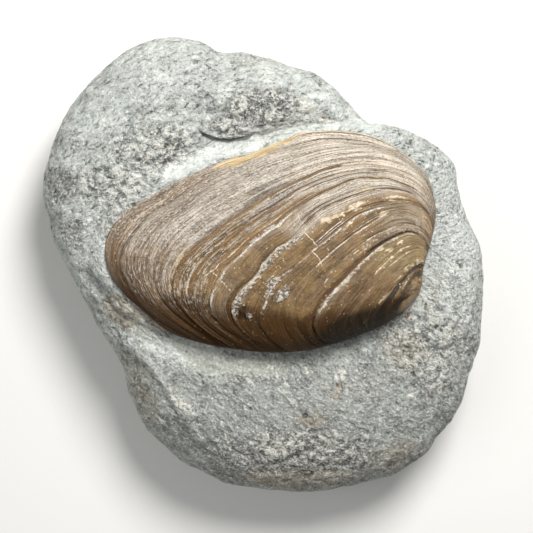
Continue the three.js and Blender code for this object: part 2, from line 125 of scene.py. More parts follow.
# Fourteen growth lines of the shell, from the beak out, each from the right edge over the top
# and round the left to the lower edge, in the plane of the shell's margin.
GROWTH = [
    [(27.58, -1.00), (26.83, -0.80), (26.14, -1.00), (25.37, -1.60), (24.78, -2.45), (24.10, -3.39), (23.50, -4.33), (22.90, -5.35), (22.22, -6.38), (21.45, -7.57), (20.94, -8.77), (20.85, -10.22)],
    [(27.82, -0.06), (27.00, 0.00), (26.14, -0.32), (25.12, -1.09), (24.27, -2.11), (23.24, -3.14), (22.22, -4.50), (21.19, -5.87), (20.34, -7.06), (19.57, -8.26), (19.15, -9.54), (19.15, -11.07)],
    [(28.09, 0.87), (27.68, 1.90), (26.65, 2.50), (25.29, 2.24), (23.92, 1.47), (22.90, 0.62), (21.88, -0.23), (20.85, -1.17), (19.83, -2.37), (18.46, -3.82), (17.10, -5.53), (16.07, -6.89), (15.22, -8.26), (14.79, -9.45), (15.05, -10.82), (16.93, -12.10)],
    [(28.29, 1.64), (27.68, 2.75), (26.65, 3.35), (25.29, 3.21), (23.92, 2.75), (22.90, 1.98), (21.88, 1.13), (20.85, 0.11), (19.83, -0.92), (18.80, -2.11), (17.78, -3.31), (16.42, -5.01), (15.39, -6.38), (14.37, -7.74), (13.51, -8.94), (12.83, -10.22), (13.00, -11.67), (15.05, -12.78)],
    [(28.52, 2.41), (27.93, 3.52), (27.17, 4.46), (26.14, 5.09), (24.95, 5.35), (23.58, 4.97), (22.22, 4.29), (20.85, 3.52), (19.49, 2.58), (18.12, 1.47), (16.76, 0.28), (15.39, -1.17), (14.03, -2.62), (12.66, -3.90), (11.64, -5.01), (10.70, -6.21), (9.93, -7.40), (9.25, -8.51), (8.82, -9.71), (8.96, -10.99), (9.76, -12.18), (11.13, -13.03), (13.34, -13.29)],
    [(28.75, 3.18), (28.28, 4.37), (27.34, 5.48), (26.14, 6.08), (24.95, 6.37), (23.58, 6.25), (21.88, 5.69), (20.17, 5.06), (18.80, 4.37), (17.44, 3.55), (15.90, 2.58), (14.71, 1.64), (13.34, 0.53), (12.15, -0.46), (10.95, -1.43), (9.59, -2.62), (8.39, -3.82), (7.29, -5.10), (6.43, -6.38), (5.92, -7.74), (5.89, -9.28), (6.35, -10.82), (7.29, -12.18), (8.74, -13.38), (10.95, -13.97)],
    [(29.01, 4.03), (28.75, 5.40), (28.11, 6.76), (27.00, 7.87), (25.63, 8.59), (24.27, 8.93), (22.73, 8.93), (21.54, 8.72), (20.51, 8.25), (19.49, 7.67), (18.46, 7.05), (17.10, 6.20), (16.07, 5.52), (15.05, 4.80), (14.03, 3.98), (12.66, 2.92), (11.64, 2.07), (10.27, 0.82), (9.08, -0.29), (7.88, -1.43), (6.52, -2.79), (5.32, -4.33), (4.47, -5.70), (3.96, -7.06), (3.70, -8.60), (3.87, -10.13), (4.47, -11.50), (5.49, -12.86), (8.05, -14.66)],
    [(29.21, 4.80), (28.99, 6.59), (28.41, 8.13), (27.68, 9.10), (26.74, 9.75), (25.80, 10.04), (24.78, 10.18), (23.58, 10.26), (21.88, 10.09), (20.51, 9.83), (19.32, 9.53), (17.78, 8.98), (16.24, 8.30), (15.05, 7.44), (13.34, 6.16), (11.64, 4.80), (10.27, 3.64), (9.42, 3.01), (8.74, 2.41), (7.88, 1.64), (6.86, 0.79), (5.83, -0.23), (4.81, -1.00), (3.79, -1.69), (2.76, -2.62), (2.08, -3.56), (1.40, -4.42), (0.89, -5.35), (0.46, -6.55), (0.03, -7.57), (-0.22, -8.60), (-0.22, -9.62), (0.12, -10.82), (0.89, -12.01), (2.08, -13.20), (4.98, -15.00)],
    [(29.39, 5.57), (29.18, 7.36), (28.67, 8.81), (27.93, 10.00), (27.00, 11.03), (25.97, 11.80), (24.95, 12.39), (23.58, 12.74), (21.88, 12.94), (20.17, 12.91), (18.46, 12.56), (16.76, 12.05), (15.39, 11.63), (13.34, 10.86), (11.64, 10.09), (9.93, 9.15), (8.39, 7.87), (7.20, 6.59), (6.18, 5.43), (4.98, 4.41), (3.79, 3.60), (2.59, 2.92), (1.57, 1.98), (0.54, 0.87), (-0.31, -0.23), (-0.82, -1.26), (-1.50, -2.20), (-2.36, -2.97), (-3.21, -3.73), (-3.89, -4.59), (-4.58, -5.44), (-5.00, -6.38), (-5.26, -7.40), (-5.12, -8.60), (-4.58, -9.79), (-3.55, -10.99), (-2.02, -12.27), (0.03, -13.55), (2.93, -15.08)],
    [(29.54, 6.25), (29.44, 7.79), (29.04, 9.15), (28.45, 10.35), (27.68, 11.32), (26.65, 12.22), (25.63, 12.91), (24.61, 13.38), (23.58, 13.76), (22.39, 14.19), (21.02, 14.51), (19.32, 14.61), (17.61, 14.68), (16.07, 14.49), (14.71, 14.10), (13.34, 13.42), (11.64, 12.65), (9.93, 11.88), (8.22, 10.94), (7.03, 10.18), (5.66, 9.32), (4.47, 8.47), (3.27, 7.44), (2.25, 6.54), (1.06, 5.91), (0.03, 5.14), (-0.99, 4.29), (-2.02, 3.52), (-3.04, 2.41), (-4.06, 1.39), (-5.09, 0.45), (-6.11, -0.41), (-6.79, -1.26), (-7.31, -2.20), (-7.82, -3.22), (-8.33, -4.33), (-8.76, -5.53), (-8.89, -6.72), (-8.59, -7.91), (-7.82, -9.11), (-6.79, -10.22), (-5.60, -11.16), (-4.06, -12.18), (-2.02, -13.46), (1.06, -15.08)],
    [(29.62, 6.76), (29.57, 8.13), (29.37, 9.49), (28.87, 10.86), (28.11, 12.14), (27.17, 13.20), (26.14, 14.01), (24.95, 14.70), (23.58, 15.24), (22.22, 15.59), (21.02, 15.77), (19.32, 15.94), (17.61, 16.03), (15.90, 15.84), (14.20, 15.55), (12.66, 15.12), (11.30, 14.75), (9.93, 14.31), (8.57, 13.71), (6.52, 12.74), (5.15, 11.83), (3.96, 10.94), (2.25, 9.78), (0.03, 8.59), (-1.16, 7.79), (-2.53, 6.85), (-4.06, 5.86), (-5.43, 4.80), (-6.79, 3.72), (-8.33, 2.53), (-9.69, 1.25), (-10.89, -0.06), (-11.74, -1.43), (-12.25, -2.71), (-12.60, -4.07), (-12.60, -5.53), (-12.17, -6.98), (-11.40, -8.34), (-10.21, -9.71), (-8.67, -10.99), (-6.79, -12.27), (-4.40, -13.63), (-1.33, -14.91)],
    [(29.69, 7.27), (29.66, 8.55), (29.49, 10.00), (29.04, 11.46), (28.28, 12.91), (27.17, 14.27), (25.97, 15.19), (24.78, 15.81), (23.58, 16.22), (21.88, 16.68), (20.17, 16.97), (18.46, 17.24), (16.76, 17.27), (15.05, 17.00), (13.34, 16.71), (11.64, 16.35), (9.93, 15.76), (8.22, 14.95), (6.52, 14.27), (3.62, 12.94), (1.40, 11.71), (-0.65, 10.43), (-2.87, 9.03), (-5.43, 7.50), (-7.48, 6.13), (-9.69, 4.54), (-11.57, 3.09), (-13.11, 1.73), (-14.30, 0.36), (-15.07, -1.09), (-15.41, -2.62), (-15.36, -4.16), (-14.99, -5.61), (-14.22, -6.98), (-13.11, -8.34), (-11.74, -9.62), (-10.04, -10.90), (-8.16, -12.10), (-6.11, -13.29), (-3.72, -14.66)],
    [(29.74, 7.70), (29.73, 8.98), (29.56, 10.52), (29.10, 12.05), (28.28, 13.76), (27.17, 15.21), (25.97, 16.32), (24.78, 17.22), (23.58, 17.96), (22.39, 18.54), (21.19, 18.93), (19.83, 19.22), (18.46, 19.29), (16.76, 19.22), (15.05, 19.10), (13.34, 18.88), (11.64, 18.54), (9.93, 18.14), (8.22, 17.63), (6.52, 17.00), (4.47, 16.23), (2.25, 15.33), (-0.31, 14.27), (-2.87, 13.08), (-5.43, 11.76), (-7.99, 10.38), (-10.55, 8.81), (-12.60, 7.36), (-14.47, 5.74), (-16.01, 4.03), (-17.20, 2.41), (-17.92, 0.96), (-18.23, -0.41), (-18.31, -1.94), (-18.06, -3.48), (-17.49, -4.93), (-16.61, -6.38), (-15.41, -7.74), (-13.96, -9.02), (-12.25, -10.30), (-10.38, -11.50), (-8.16, -12.86), (-5.60, -14.40)],
    [(29.78, 8.13), (29.78, 9.49), (29.59, 11.03), (29.10, 12.74), (28.28, 14.36), (27.17, 15.81), (25.97, 17.00), (24.61, 18.14), (23.24, 19.05), (22.05, 19.61), (20.85, 20.07), (19.49, 20.53), (18.46, 20.88), (16.76, 21.13), (15.05, 21.27), (13.68, 21.40), (11.30, 21.35), (9.93, 21.27), (8.22, 20.99), (6.52, 20.59), (3.96, 19.95), (1.40, 19.27), (-1.16, 18.37), (-3.72, 17.34), (-5.77, 16.49), (-7.99, 15.50), (-10.04, 14.39), (-12.25, 12.99), (-14.30, 11.54), (-16.01, 10.35), (-17.72, 9.36), (-19.08, 8.50), (-20.45, 7.44), (-21.64, 6.16), (-22.75, 4.71), (-23.69, 3.09), (-24.20, 1.30), (-24.10, -0.49), (-23.52, -2.28), (-22.66, -3.94), (-21.47, -5.61), (-19.93, -7.23), (-18.06, -8.77), (-16.01, -10.13), (-13.79, -11.38), (-11.40, -12.52), (-7.48, -14.06)],
]

TIP = (27.304, -3.819)
LEVELS = [0, .0782, .0985, .1804, .2028, .2841, .3473, .4035, .4565, .5625, .6415, .7117, .7602, .8301, .9485, 1.0]


# ---------------------------------------------------------------- small helpers
def smooth(a, b, x):
    t = np.clip((x - a) / (b - a), 0, 1)
    return t * t * (3 - 2 * t)


def along(rows, x, column, period=0):
    rows = np.array(rows, float)
    xs, v = rows[:, 0], rows[:, column]
    if period:
        x = np.mod(x, period)
        xs, v = np.append(xs, xs[0] + period), np.append(v, v[0])
    i = np.clip(np.searchsorted(xs, x, side="right") - 1, 0, len(xs) - 2)
    return v[i] + (v[i + 1] - v[i]) * smooth(0, 1, (x - xs[i]) / (xs[i + 1] - xs[i]))


def pchip(x, y, xi):
    x, y = np.asarray(x, float), np.asarray(y, float)
    flat = y.ndim == 1
    if flat:
        y = y[:, None]
    h = np.diff(x)[:, None]
    d = np.diff(y, axis=0) / h
    m = np.zeros_like(y)
    with np.errstate(divide="ignore", invalid="ignore"):
        w1, w2 = 2 * h[1:] + h[:-1], h[1:] + 2 * h[:-1]
        hm = (w1 + w2) / (w1 / d[:-1] + w2 / d[1:])
    m[1:-1] = np.where(d[:-1] * d[1:] > 0, hm, 0)
    m[0], m[-1] = d[0], d[-1]
    xi = np.clip(np.asarray(xi, float), x[0], x[-1])
    i = np.clip(np.searchsorted(x, xi, side="right") - 1, 0, len(x) - 2)
    hh = (x[i + 1] - x[i])[..., None]
    t = (xi - x[i])[..., None] / hh
    out = (2 * t**3 - 3 * t**2 + 1) * y[i] + (t**3 - 2 * t**2 + t) * hh * m[i]
    out = out + (-2 * t**3 + 3 * t**2) * y[i + 1] + (t**3 - t**2) * hh * m[i + 1]
    return out[..., 0] if flat else out


def refine(points, n, closed=False):
    p = np.asarray(points, float)
    q = np.vstack([p[-1], p, p[0], p[1]]) if closed else np.vstack([2 * p[0] - p[1], p, 2 * p[-1] - p[-2]])
    out = []
    for i in range(1, len(q) - 2):
        a, b, c, e = q[i - 1], q[i], q[i + 1], q[i + 2]
        for k in range(n):
            t = k / n
            out.append(0.5 * (2 * b + (c - a) * t + (2 * a - 5 * b + 4 * c - e) * t * t + (3 * b - a - 3 * c + e) * t**3))
    if not closed:
        out.append(q[-2])
    return np.array(out)


def rand(ix, iy, iz, seed):
    m = np.int64(0xFFFFFFFF)
    h = (ix * 374761393 + iy * 668265263 + iz * 1440662683 + seed * 974634777) & m
    h = ((h ^ (h >> 15)) * 2246822519) & m
    h = ((h ^ (h >> 13)) * 3266489917) & m
    return h ^ (h >> 16)


def noise(p, seed):
    """Seeded gradient noise at points (n, 3), about -1 to 1."""
    p = np.asarray(p, float)
    i = np.floor(p).astype(np.int64)
    f = p - i
    u = f * f * f * (f * (f * 6 - 15) + 10)

    def corner(dx, dy, dz):
        h = rand(i[:, 0] + dx, i[:, 1] + dy, i[:, 2] + dz, seed)
        g = ((h & 1023) / 511.5 - 1) * (f[:, 0] - dx)
        g = g + (((h >> 10) & 1023) / 511.5 - 1) * (f[:, 1] - dy)
        return g + (((h >> 20) & 1023) / 511.5 - 1) * (f[:, 2] - dz)

    def mix(a, b, k):
        return a + (b - a) * k

    x0 = mix(corner(0, 0, 0), corner(1, 0, 0), u[:, 0])
    x1 = mix(corner(0, 1, 0), corner(1, 1, 0), u[:, 0])
    x2 = mix(corner(0, 0, 1), corner(1, 0, 1), u[:, 0])
    x3 = mix(corner(0, 1, 1), corner(1, 1, 1), u[:, 0])
    return 1.5 * mix(mix(x0, x1, u[:, 1]), mix(x2, x3, u[:, 1]), u[:, 2])


def fbm(p, octaves, gain, seed):
    total, size, top = 0.0, 1.0, 0.0
    for k in range(octaves):
        total = total + size * noise(p * 2.03**k, seed + 17 * k)
        top += size
        size *= gain
    return total / top


def ridged(p, seed):
    return 1 - 2.2 * np.abs(noise(p, seed))


def cells(p, seed):
    """Distances to the nearest and second nearest of jittered cell points, and the nearest cell's value."""
    i = np.floor(p).astype(np.int64)
    best = np.full(len(p), 9.0)
    second = np.full(len(p), 9.0)
    value = np.zeros(len(p))
    for dx in (-1, 0, 1):
        for dy in (-1, 0, 1):
            for dz in (-1, 0, 1):
                c = i + np.array([dx, dy, dz])
                h = rand(c[:, 0], c[:, 1], c[:, 2], seed)
                q = c + np.stack([(h & 1023) / 1023, ((h >> 10) & 1023) / 1023, ((h >> 20) & 1023) / 1023], -1)
                d = np.sqrt(((q - p) ** 2).sum(1))
                near = d < best
                second = np.where(near, best, np.minimum(second, d))
                value = np.where(near, ((h >> 7) & 1023) / 1023, value)
                best = np.where(near, d, best)
    return best, second, value


def turned(p, degrees, stretch):
    """Points turned about Z and squeezed along the new X, so that noise on them runs long that way."""
    c, s = math.cos(math.radians(degrees)), math.sin(math.radians(degrees))
    return np.stack([(p[:, 0] * c + p[:, 1] * s) / stretch, -p[:, 0] * s + p[:, 1] * c, p[:, 2]], -1)


def to_px(p):
    """Where the camera sees a point, in picture units of the plan view: right and down."""
    k = FOCAL_PX / (EYE_Z - p[:, 2])
    return 266.5 + (p[:, 0] - EYE_X) * k, 266.5 - (p[:, 1] - EYE_Y) * k


def stroke(px, py, points, width):
    """1 on a polyline of the plan view, falling to 0 at width."""
    best = np.full(px.shape, 1e9)
    for (ax, ay), (bx, by) in zip(points[:-1], points[1:]):
        dx, dy = bx - ax, by - ay
        t = np.clip(((px - ax) * dx + (py - ay) * dy) / (dx * dx + dy * dy), 0, 1)
        best = np.minimum(best, np.hypot(px - ax - t * dx, py - ay - t * dy))
    return 1 - smooth(0.25 * width, width, best)


def patch(px, py, cx, cy, a, b, turn=0):
    """A soft oval of the plan view: half-widths a, b, turned anticlockwise."""
    c, s = math.cos(math.radians(turn)), math.sin(math.radians(turn))
    u = ((px - cx) * c - (py - cy) * s) / a
    v = ((px - cx) * s + (py - cy) * c) / b
    return 1 - smooth(0.55, 1.25, np.hypot(u, v))


def grid_normals(P, wrap):
    """Unit normals of a grid of points (rows, columns, 3); wrap joins the last column to the first."""
    if wrap:
        dc = np.roll(P, -1, 1) - np.roll(P, 1, 1)
    else:
        dc = np.gradient(P, axis=1)
    dr = np.gradient(P, axis=0)
    n = np.cross(dr, dc)
    length = np.linalg.norm(n, axis=2, keepdims=True)
    return n / np.maximum(length, 1e-12)


def grid_quads(rows, columns, wrap, start=0, flip=False):
    r = np.arange(rows - 1)[:, None]
    c = np.arange(columns if wrap else columns - 1)[None, :]
    d = (c + 1) % columns
    a, b, e, f = r * columns + c, r * columns + d, (r + 1) * columns + d, (r + 1) * columns + c
    q = np.stack([a, f, e, b] if not flip else [a, b, e, f], -1).reshape(-1, 4)
    return q + start


def make_mesh(name, points, quads, triangles, attributes, material):
    mesh = bpy.data.meshes.new(name)
    n = len(points)
    quads = np.asarray(quads, np.int32).reshape(-1, 4)
    triangles = np.asarray(triangles, np.int32).reshape(-1, 3)
    mesh.vertices.add(n)
    world = points * 0.001
    world[:, 0] += SHIFT_X * 0.001
    mesh.vertices.foreach_set("co", world.astype(np.float32).ravel())
    mesh.loops.add(len(quads) * 4 + len(triangles) * 3)
    mesh.loops.foreach_set("vertex_index", np.concatenate([quads.ravel(), triangles.ravel()]).astype(np.int32))
    mesh.polygons.add(len(quads) + len(triangles))
    starts = np.concatenate([np.arange(len(quads)) * 4, len(quads) * 4 + np.arange(len(triangles)) * 3])
    mesh.polygons.foreach_set("loop_start", starts.astype(np.int32))
    mesh.update(calc_edges=True)
    mesh.polygons.foreach_set("use_smooth", np.ones(len(mesh.polygons), bool))
    for key, value in attributes.items():
        a = mesh.attributes.new(key, "FLOAT", "POINT")
        a.data.foreach_set("value", np.asarray(value, np.float32).ravel())
    mesh.validate()
    mesh.update()
    obj = bpy.data.objects.new(name, mesh)
    bpy.context.scene.collection.objects.link(obj)
    mesh.materials.append(material)
    return obj


# ---------------------------------------------------------------- the shell's margin
EDGE = refine(MARGIN, 8, closed=True)
EDGE = np.roll(EDGE, -np.argmax(EDGE[:, 0]), axis=0)  # from the beak end, clockwise
LEFT = int(np.argmin(EDGE[:, 0]))
LOWER, UPPER = EDGE[: LEFT + 1][::-1], np.vstack([EDGE[LEFT:], EDGE[:1]])


def monotone(chain):
    keep = np.concatenate([[True], np.diff(np.maximum.accumulate(chain[:, 0])) > 1e-6])
    return chain[keep]


LOWER, UPPER = monotone(LOWER), monotone(UPPER)
TREE_POINTS = refine(EDGE, 4, closed=True)
TREE = kdtree.KDTree(len(TREE_POINTS))
for _i, (_x, _y) in enumerate(TREE_POINTS):
    TREE.insert((_x, _y, 0), _i)
TREE.balance()


def margin_distance(x, y):
    shape = np.shape(x)
    x, y = np.ravel(x), np.ravel(y)
    d = np.array([TREE.find((a, b, 0))[2] for a, b in zip(x, y)])
    low, high = np.interp(x, LOWER[:, 0], LOWER[:, 1]), np.interp(x, UPPER[:, 0], UPPER[:, 1])
    inside = (y > low) & (y < high) & (x > LOWER[0, 0]) & (x < LOWER[-1, 0])
    return np.where(inside, -d, d).reshape(shape)


def seat(x):
    return SEAT_Z + SEAT_SLOPE_X * x


def dome(x, y):
    """Height of the shell's rounded surface before its growth steps."""
    low, high = np.interp(x, LOWER[:, 0], LOWER[:, 1]), np.interp(x, UPPER[:, 0], UPPER[:, 1])
    width = np.maximum(high - low, 1e-6)
    w = np.clip((y - low) / width, 0, 1)
    rows = np.array(CREST, float)
    share, crest, close = (pchip(rows[:, 0], rows[:, k], x) for k in (1, 2, 3))
    near = np.sqrt(np.maximum(0, 1 - np.abs((crest - w) / crest) ** 2.3))
    far = np.maximum(0, 1 - np.abs((w - crest) / (1 - crest)) ** 1.75) ** 0.86
    across = np.where(w < crest, near, far)
    chord = np.minimum(1, width / 37.5)
    edge = (x <= LOWER[0, 0]) | (x >= LOWER[-1, 0])
    return seat(x) + np.where(edge, 0, SHELL_RISE * share * chord**close * across)


# ---------------------------------------------------------------- the shell
def growth_field(s, columns):
    """Margin-plane points at growth levels s and even columns from the right edge to the lower edge."""
    curves = [np.array(k, float) for k in GROWTH]
    m = np.array(MARGIN)
    stop = int(np.argmin(np.hypot(m[:, 0] + 8.9, m[:, 1] + 13.8)))
    curves.append(np.vstack([m[:1], m[:stop - 1:-1]]))
    polar = []
    for c in curves:
        q = refine(c, 12) - TIP
        angle = np.mod(np.arctan2(q[:, 1], q[:, 0]), 2 * math.pi)
        angle = np.maximum.accumulate(angle + np.arange(len(angle)) * 1e-9)
        polar.append((angle, np.hypot(q[:, 0], q[:, 1])))
    u = np.linspace(0, 1, 2001)
    acc = np.zeros_like(u)
    for k in (4, 7, 8, 9, 10, 12, 14):
        a, r = polar[k]
        b = a[0] + u * (a[-1] - a[0])
        rr = np.interp(b, a, r)
        d = np.concatenate([[0], np.cumsum(np.hypot(np.diff(rr * np.cos(b)), np.diff(rr * np.sin(b))))])
        acc += d / d[-1]
    acc /= acc[-1]
    share = np.interp(columns, acc, u)
    a1, r1 = polar[0]
    first = np.interp(a1[0] + share * (a1[-1] - a1[0]), a1, r1)
    levels, radii, angles = [], [], []
    for alpha, start, end in ((0, 88.9, 256.0), (0.168, 88.7, 251.6), (0.355, 88.0, 240.7), (0.56, 87.0, 234.9), (0.81, 86.0, 228.8)):
        levels.append(alpha * LEVELS[1])
        radii.append(alpha * first)
        angles.append(np.radians(start + share * (end - start)))
    for level, (a, r) in zip(LEVELS[1:], polar):
        b = a[0] + share * (a[-1] - a[0])
        levels.append(level)
        radii.append(np.interp(b, a, r))
        angles.append(b)
    r = pchip(levels, np.array(radii), s)
    a = pchip(levels, np.array(angles), s)
    return np.stack([TIP[0] + r * np.cos(a), TIP[1] + r * np.sin(a)], -1)


def snap(points):
    """The nearest places of the margin."""
    out = points.copy()
    count = len(TREE_POINTS)
    for i, (x, y) in enumerate(points):
        j = TREE.find((x, y, 0))[1]
        best = 1e9
        for a, b in ((TREE_POINTS[j - 1], TREE_POINTS[j]), (TREE_POINTS[j], TREE_POINTS[(j + 1) % count])):
            along_x, along_y = b[0] - a[0], b[1] - a[1]
            size = along_x**2 + along_y**2
            u = 0.0 if size == 0 else min(1.0, max(0.0, ((x - a[0]) * along_x + (y - a[1]) * along_y) / size))
            cx, cy = a[0] + u * along_x, a[1] + u * along_y
            gap = math.hypot(x - cx, y - cy)
            if gap < best:
                best = gap
                out[i] = cx, cy
    return out


# Steps where growth stopped: a line of (t, s), height in mm, unevenness, and (t, strength) along it.
STEPS = [
    ([(0, .0782), (1, .0782)], .10, .0015, [(0, 1), (1, 1)]),
    ([(0, .0985), (1, .0985)], -.16, .002, [(0, 1), (1, 1)]),
    ([(0, .1404), (1, .1404)], .07, .003, [(0, 1), (.6, .7), (1, .4)]),
    ([(0, .1804), (1, .1804)], .10, .002, [(0, .8), (1, .8)]),
    ([(0, .2028), (1, .2028)], .11, .002, [(0, .8), (1, .8)]),
    ([(0, .2900), (1, .2841)], .60, .0035, [(0, .35), (.1, .9), (.25, 1), (.8, 1), (1, .6)]),
    ([(0, .3200), (1, .3200)], .10, .002, [(0, .6), (.5, 1), (1, .5)]),
    ([(0, .3650), (.1, .362), (.35, .352), (.5, .343), (1, .345)], .17, .002, [(0, .5), (.2, 1), (.6, .9), (1, .5)]),
    ([(0, .4035), (1, .4035)], .22, .0025, [(0, .4), (.25, .9), (.6, 1), (1, .5)]),
    ([(0, .4250), (1, .4250)], .08, .002, [(0, .5), (.3, 1), (1, .3)]),
    ([(0, .4600), (1, .4600)], .40, .004, [(0, .3), (.2, .9), (.55, 1), (.8, .7), (1, .4)]),
    ([(0, .4700), (.35, .4700), (.5, .4680), (1, .4680)], .12, .0015, [(0, .2), (.3, 1), (.52, 1), (.6, .2), (1, 0)]),
    ([(0, .4820), (.35, .4820), (.5, .4790), (1, .4790)], .16, .0015, [(0, .3), (.3, 1), (.55, 1), (.65, .4), (1, .2)]),
    ([(0, .5380), (.25, .5360), (.47, .5480), (1, .5600)], .26, .0025, [(0, .4), (.2, 1), (.45, 1), (.5, .2), (1, 0)]),
    ([(0, .5625), (.45, .5625), (1, .5625)], .42, .0050, [(0, .2), (.3, .35), (.46, .6), (.52, 1), (.82, 1), (1, .5)]),
    ([(0, .5850), (1, .5850)], .10, .002, [(0, .6), (.45, 1), (.6, .4), (1, .3)]),
    ([(0, .6120), (1, .6120)], .06, .003, [(0, .5), (.45, 1), (.6, .4), (1, .3)]),
    ([(0, .6440), (1, .6440)], .38, .0050, [(0, .3), (.25, .7), (.5, 1), (.8, 1), (1, .5)]),
    ([(0, .6600), (.47, .6600), (.69, .6620), (.74, .690), (1, .70)], .13, .002, [(0, .4), (.45, 1), (.72, 1), (1, .3)]),
    ([(0, .6780), (1, .6780)], .12, .0025, [(0, .3), (.4, .8), (.75, 1), (1, .3)]),
    ([(0, .7010), (1, .7010)], .16, .0020, [(0, .4), (.35, 1), (.6, 1), (1, .5)]),
    ([(0, .7180), (1, .7180)], .22, .0030, [(0, .5), (.3, .8), (.8, 1), (1, .5)]),
    ([(0, .7430), (1, .7430)], .12, .0025, [(0, .4), (.4, 1), (.6, .8), (1, .4)]),
    ([(0, .7800), (.35, .7750), (.5, .7700), (.7, .7560), (1, .750)], .28, .0030, [(0, .4), (.3, 1), (.8, 1), (1, .5)]),
    ([(0, .7960), (.45, .7940), (.65, .7840), (1, .780)], .10, .002, [(0, .3), (.4, 1), (.7, .8), (1, .3)]),
    ([(0, .8301), (1, .8301)], .13, .003, [(0, .6), (.5, 1), (1, .6)]),
    ([(0, .8650), (1, .8650)], .06, .003, [(0, .6), (.5, 1), (1, .6)]),
    ([(0, .9000), (1, .9000)], .07, .003, [(0, .6), (.5, 1), (1, .6)]),
    ([(0, .9485), (1, .9485)], .20, .0025, [(0, .5), (.3, .5), (.5, .9), (.85, 1), (1, .6)]),
    ([(0, .9750), (1, .9750)], .06, .002, [(0, 1), (1, 1)]),
]

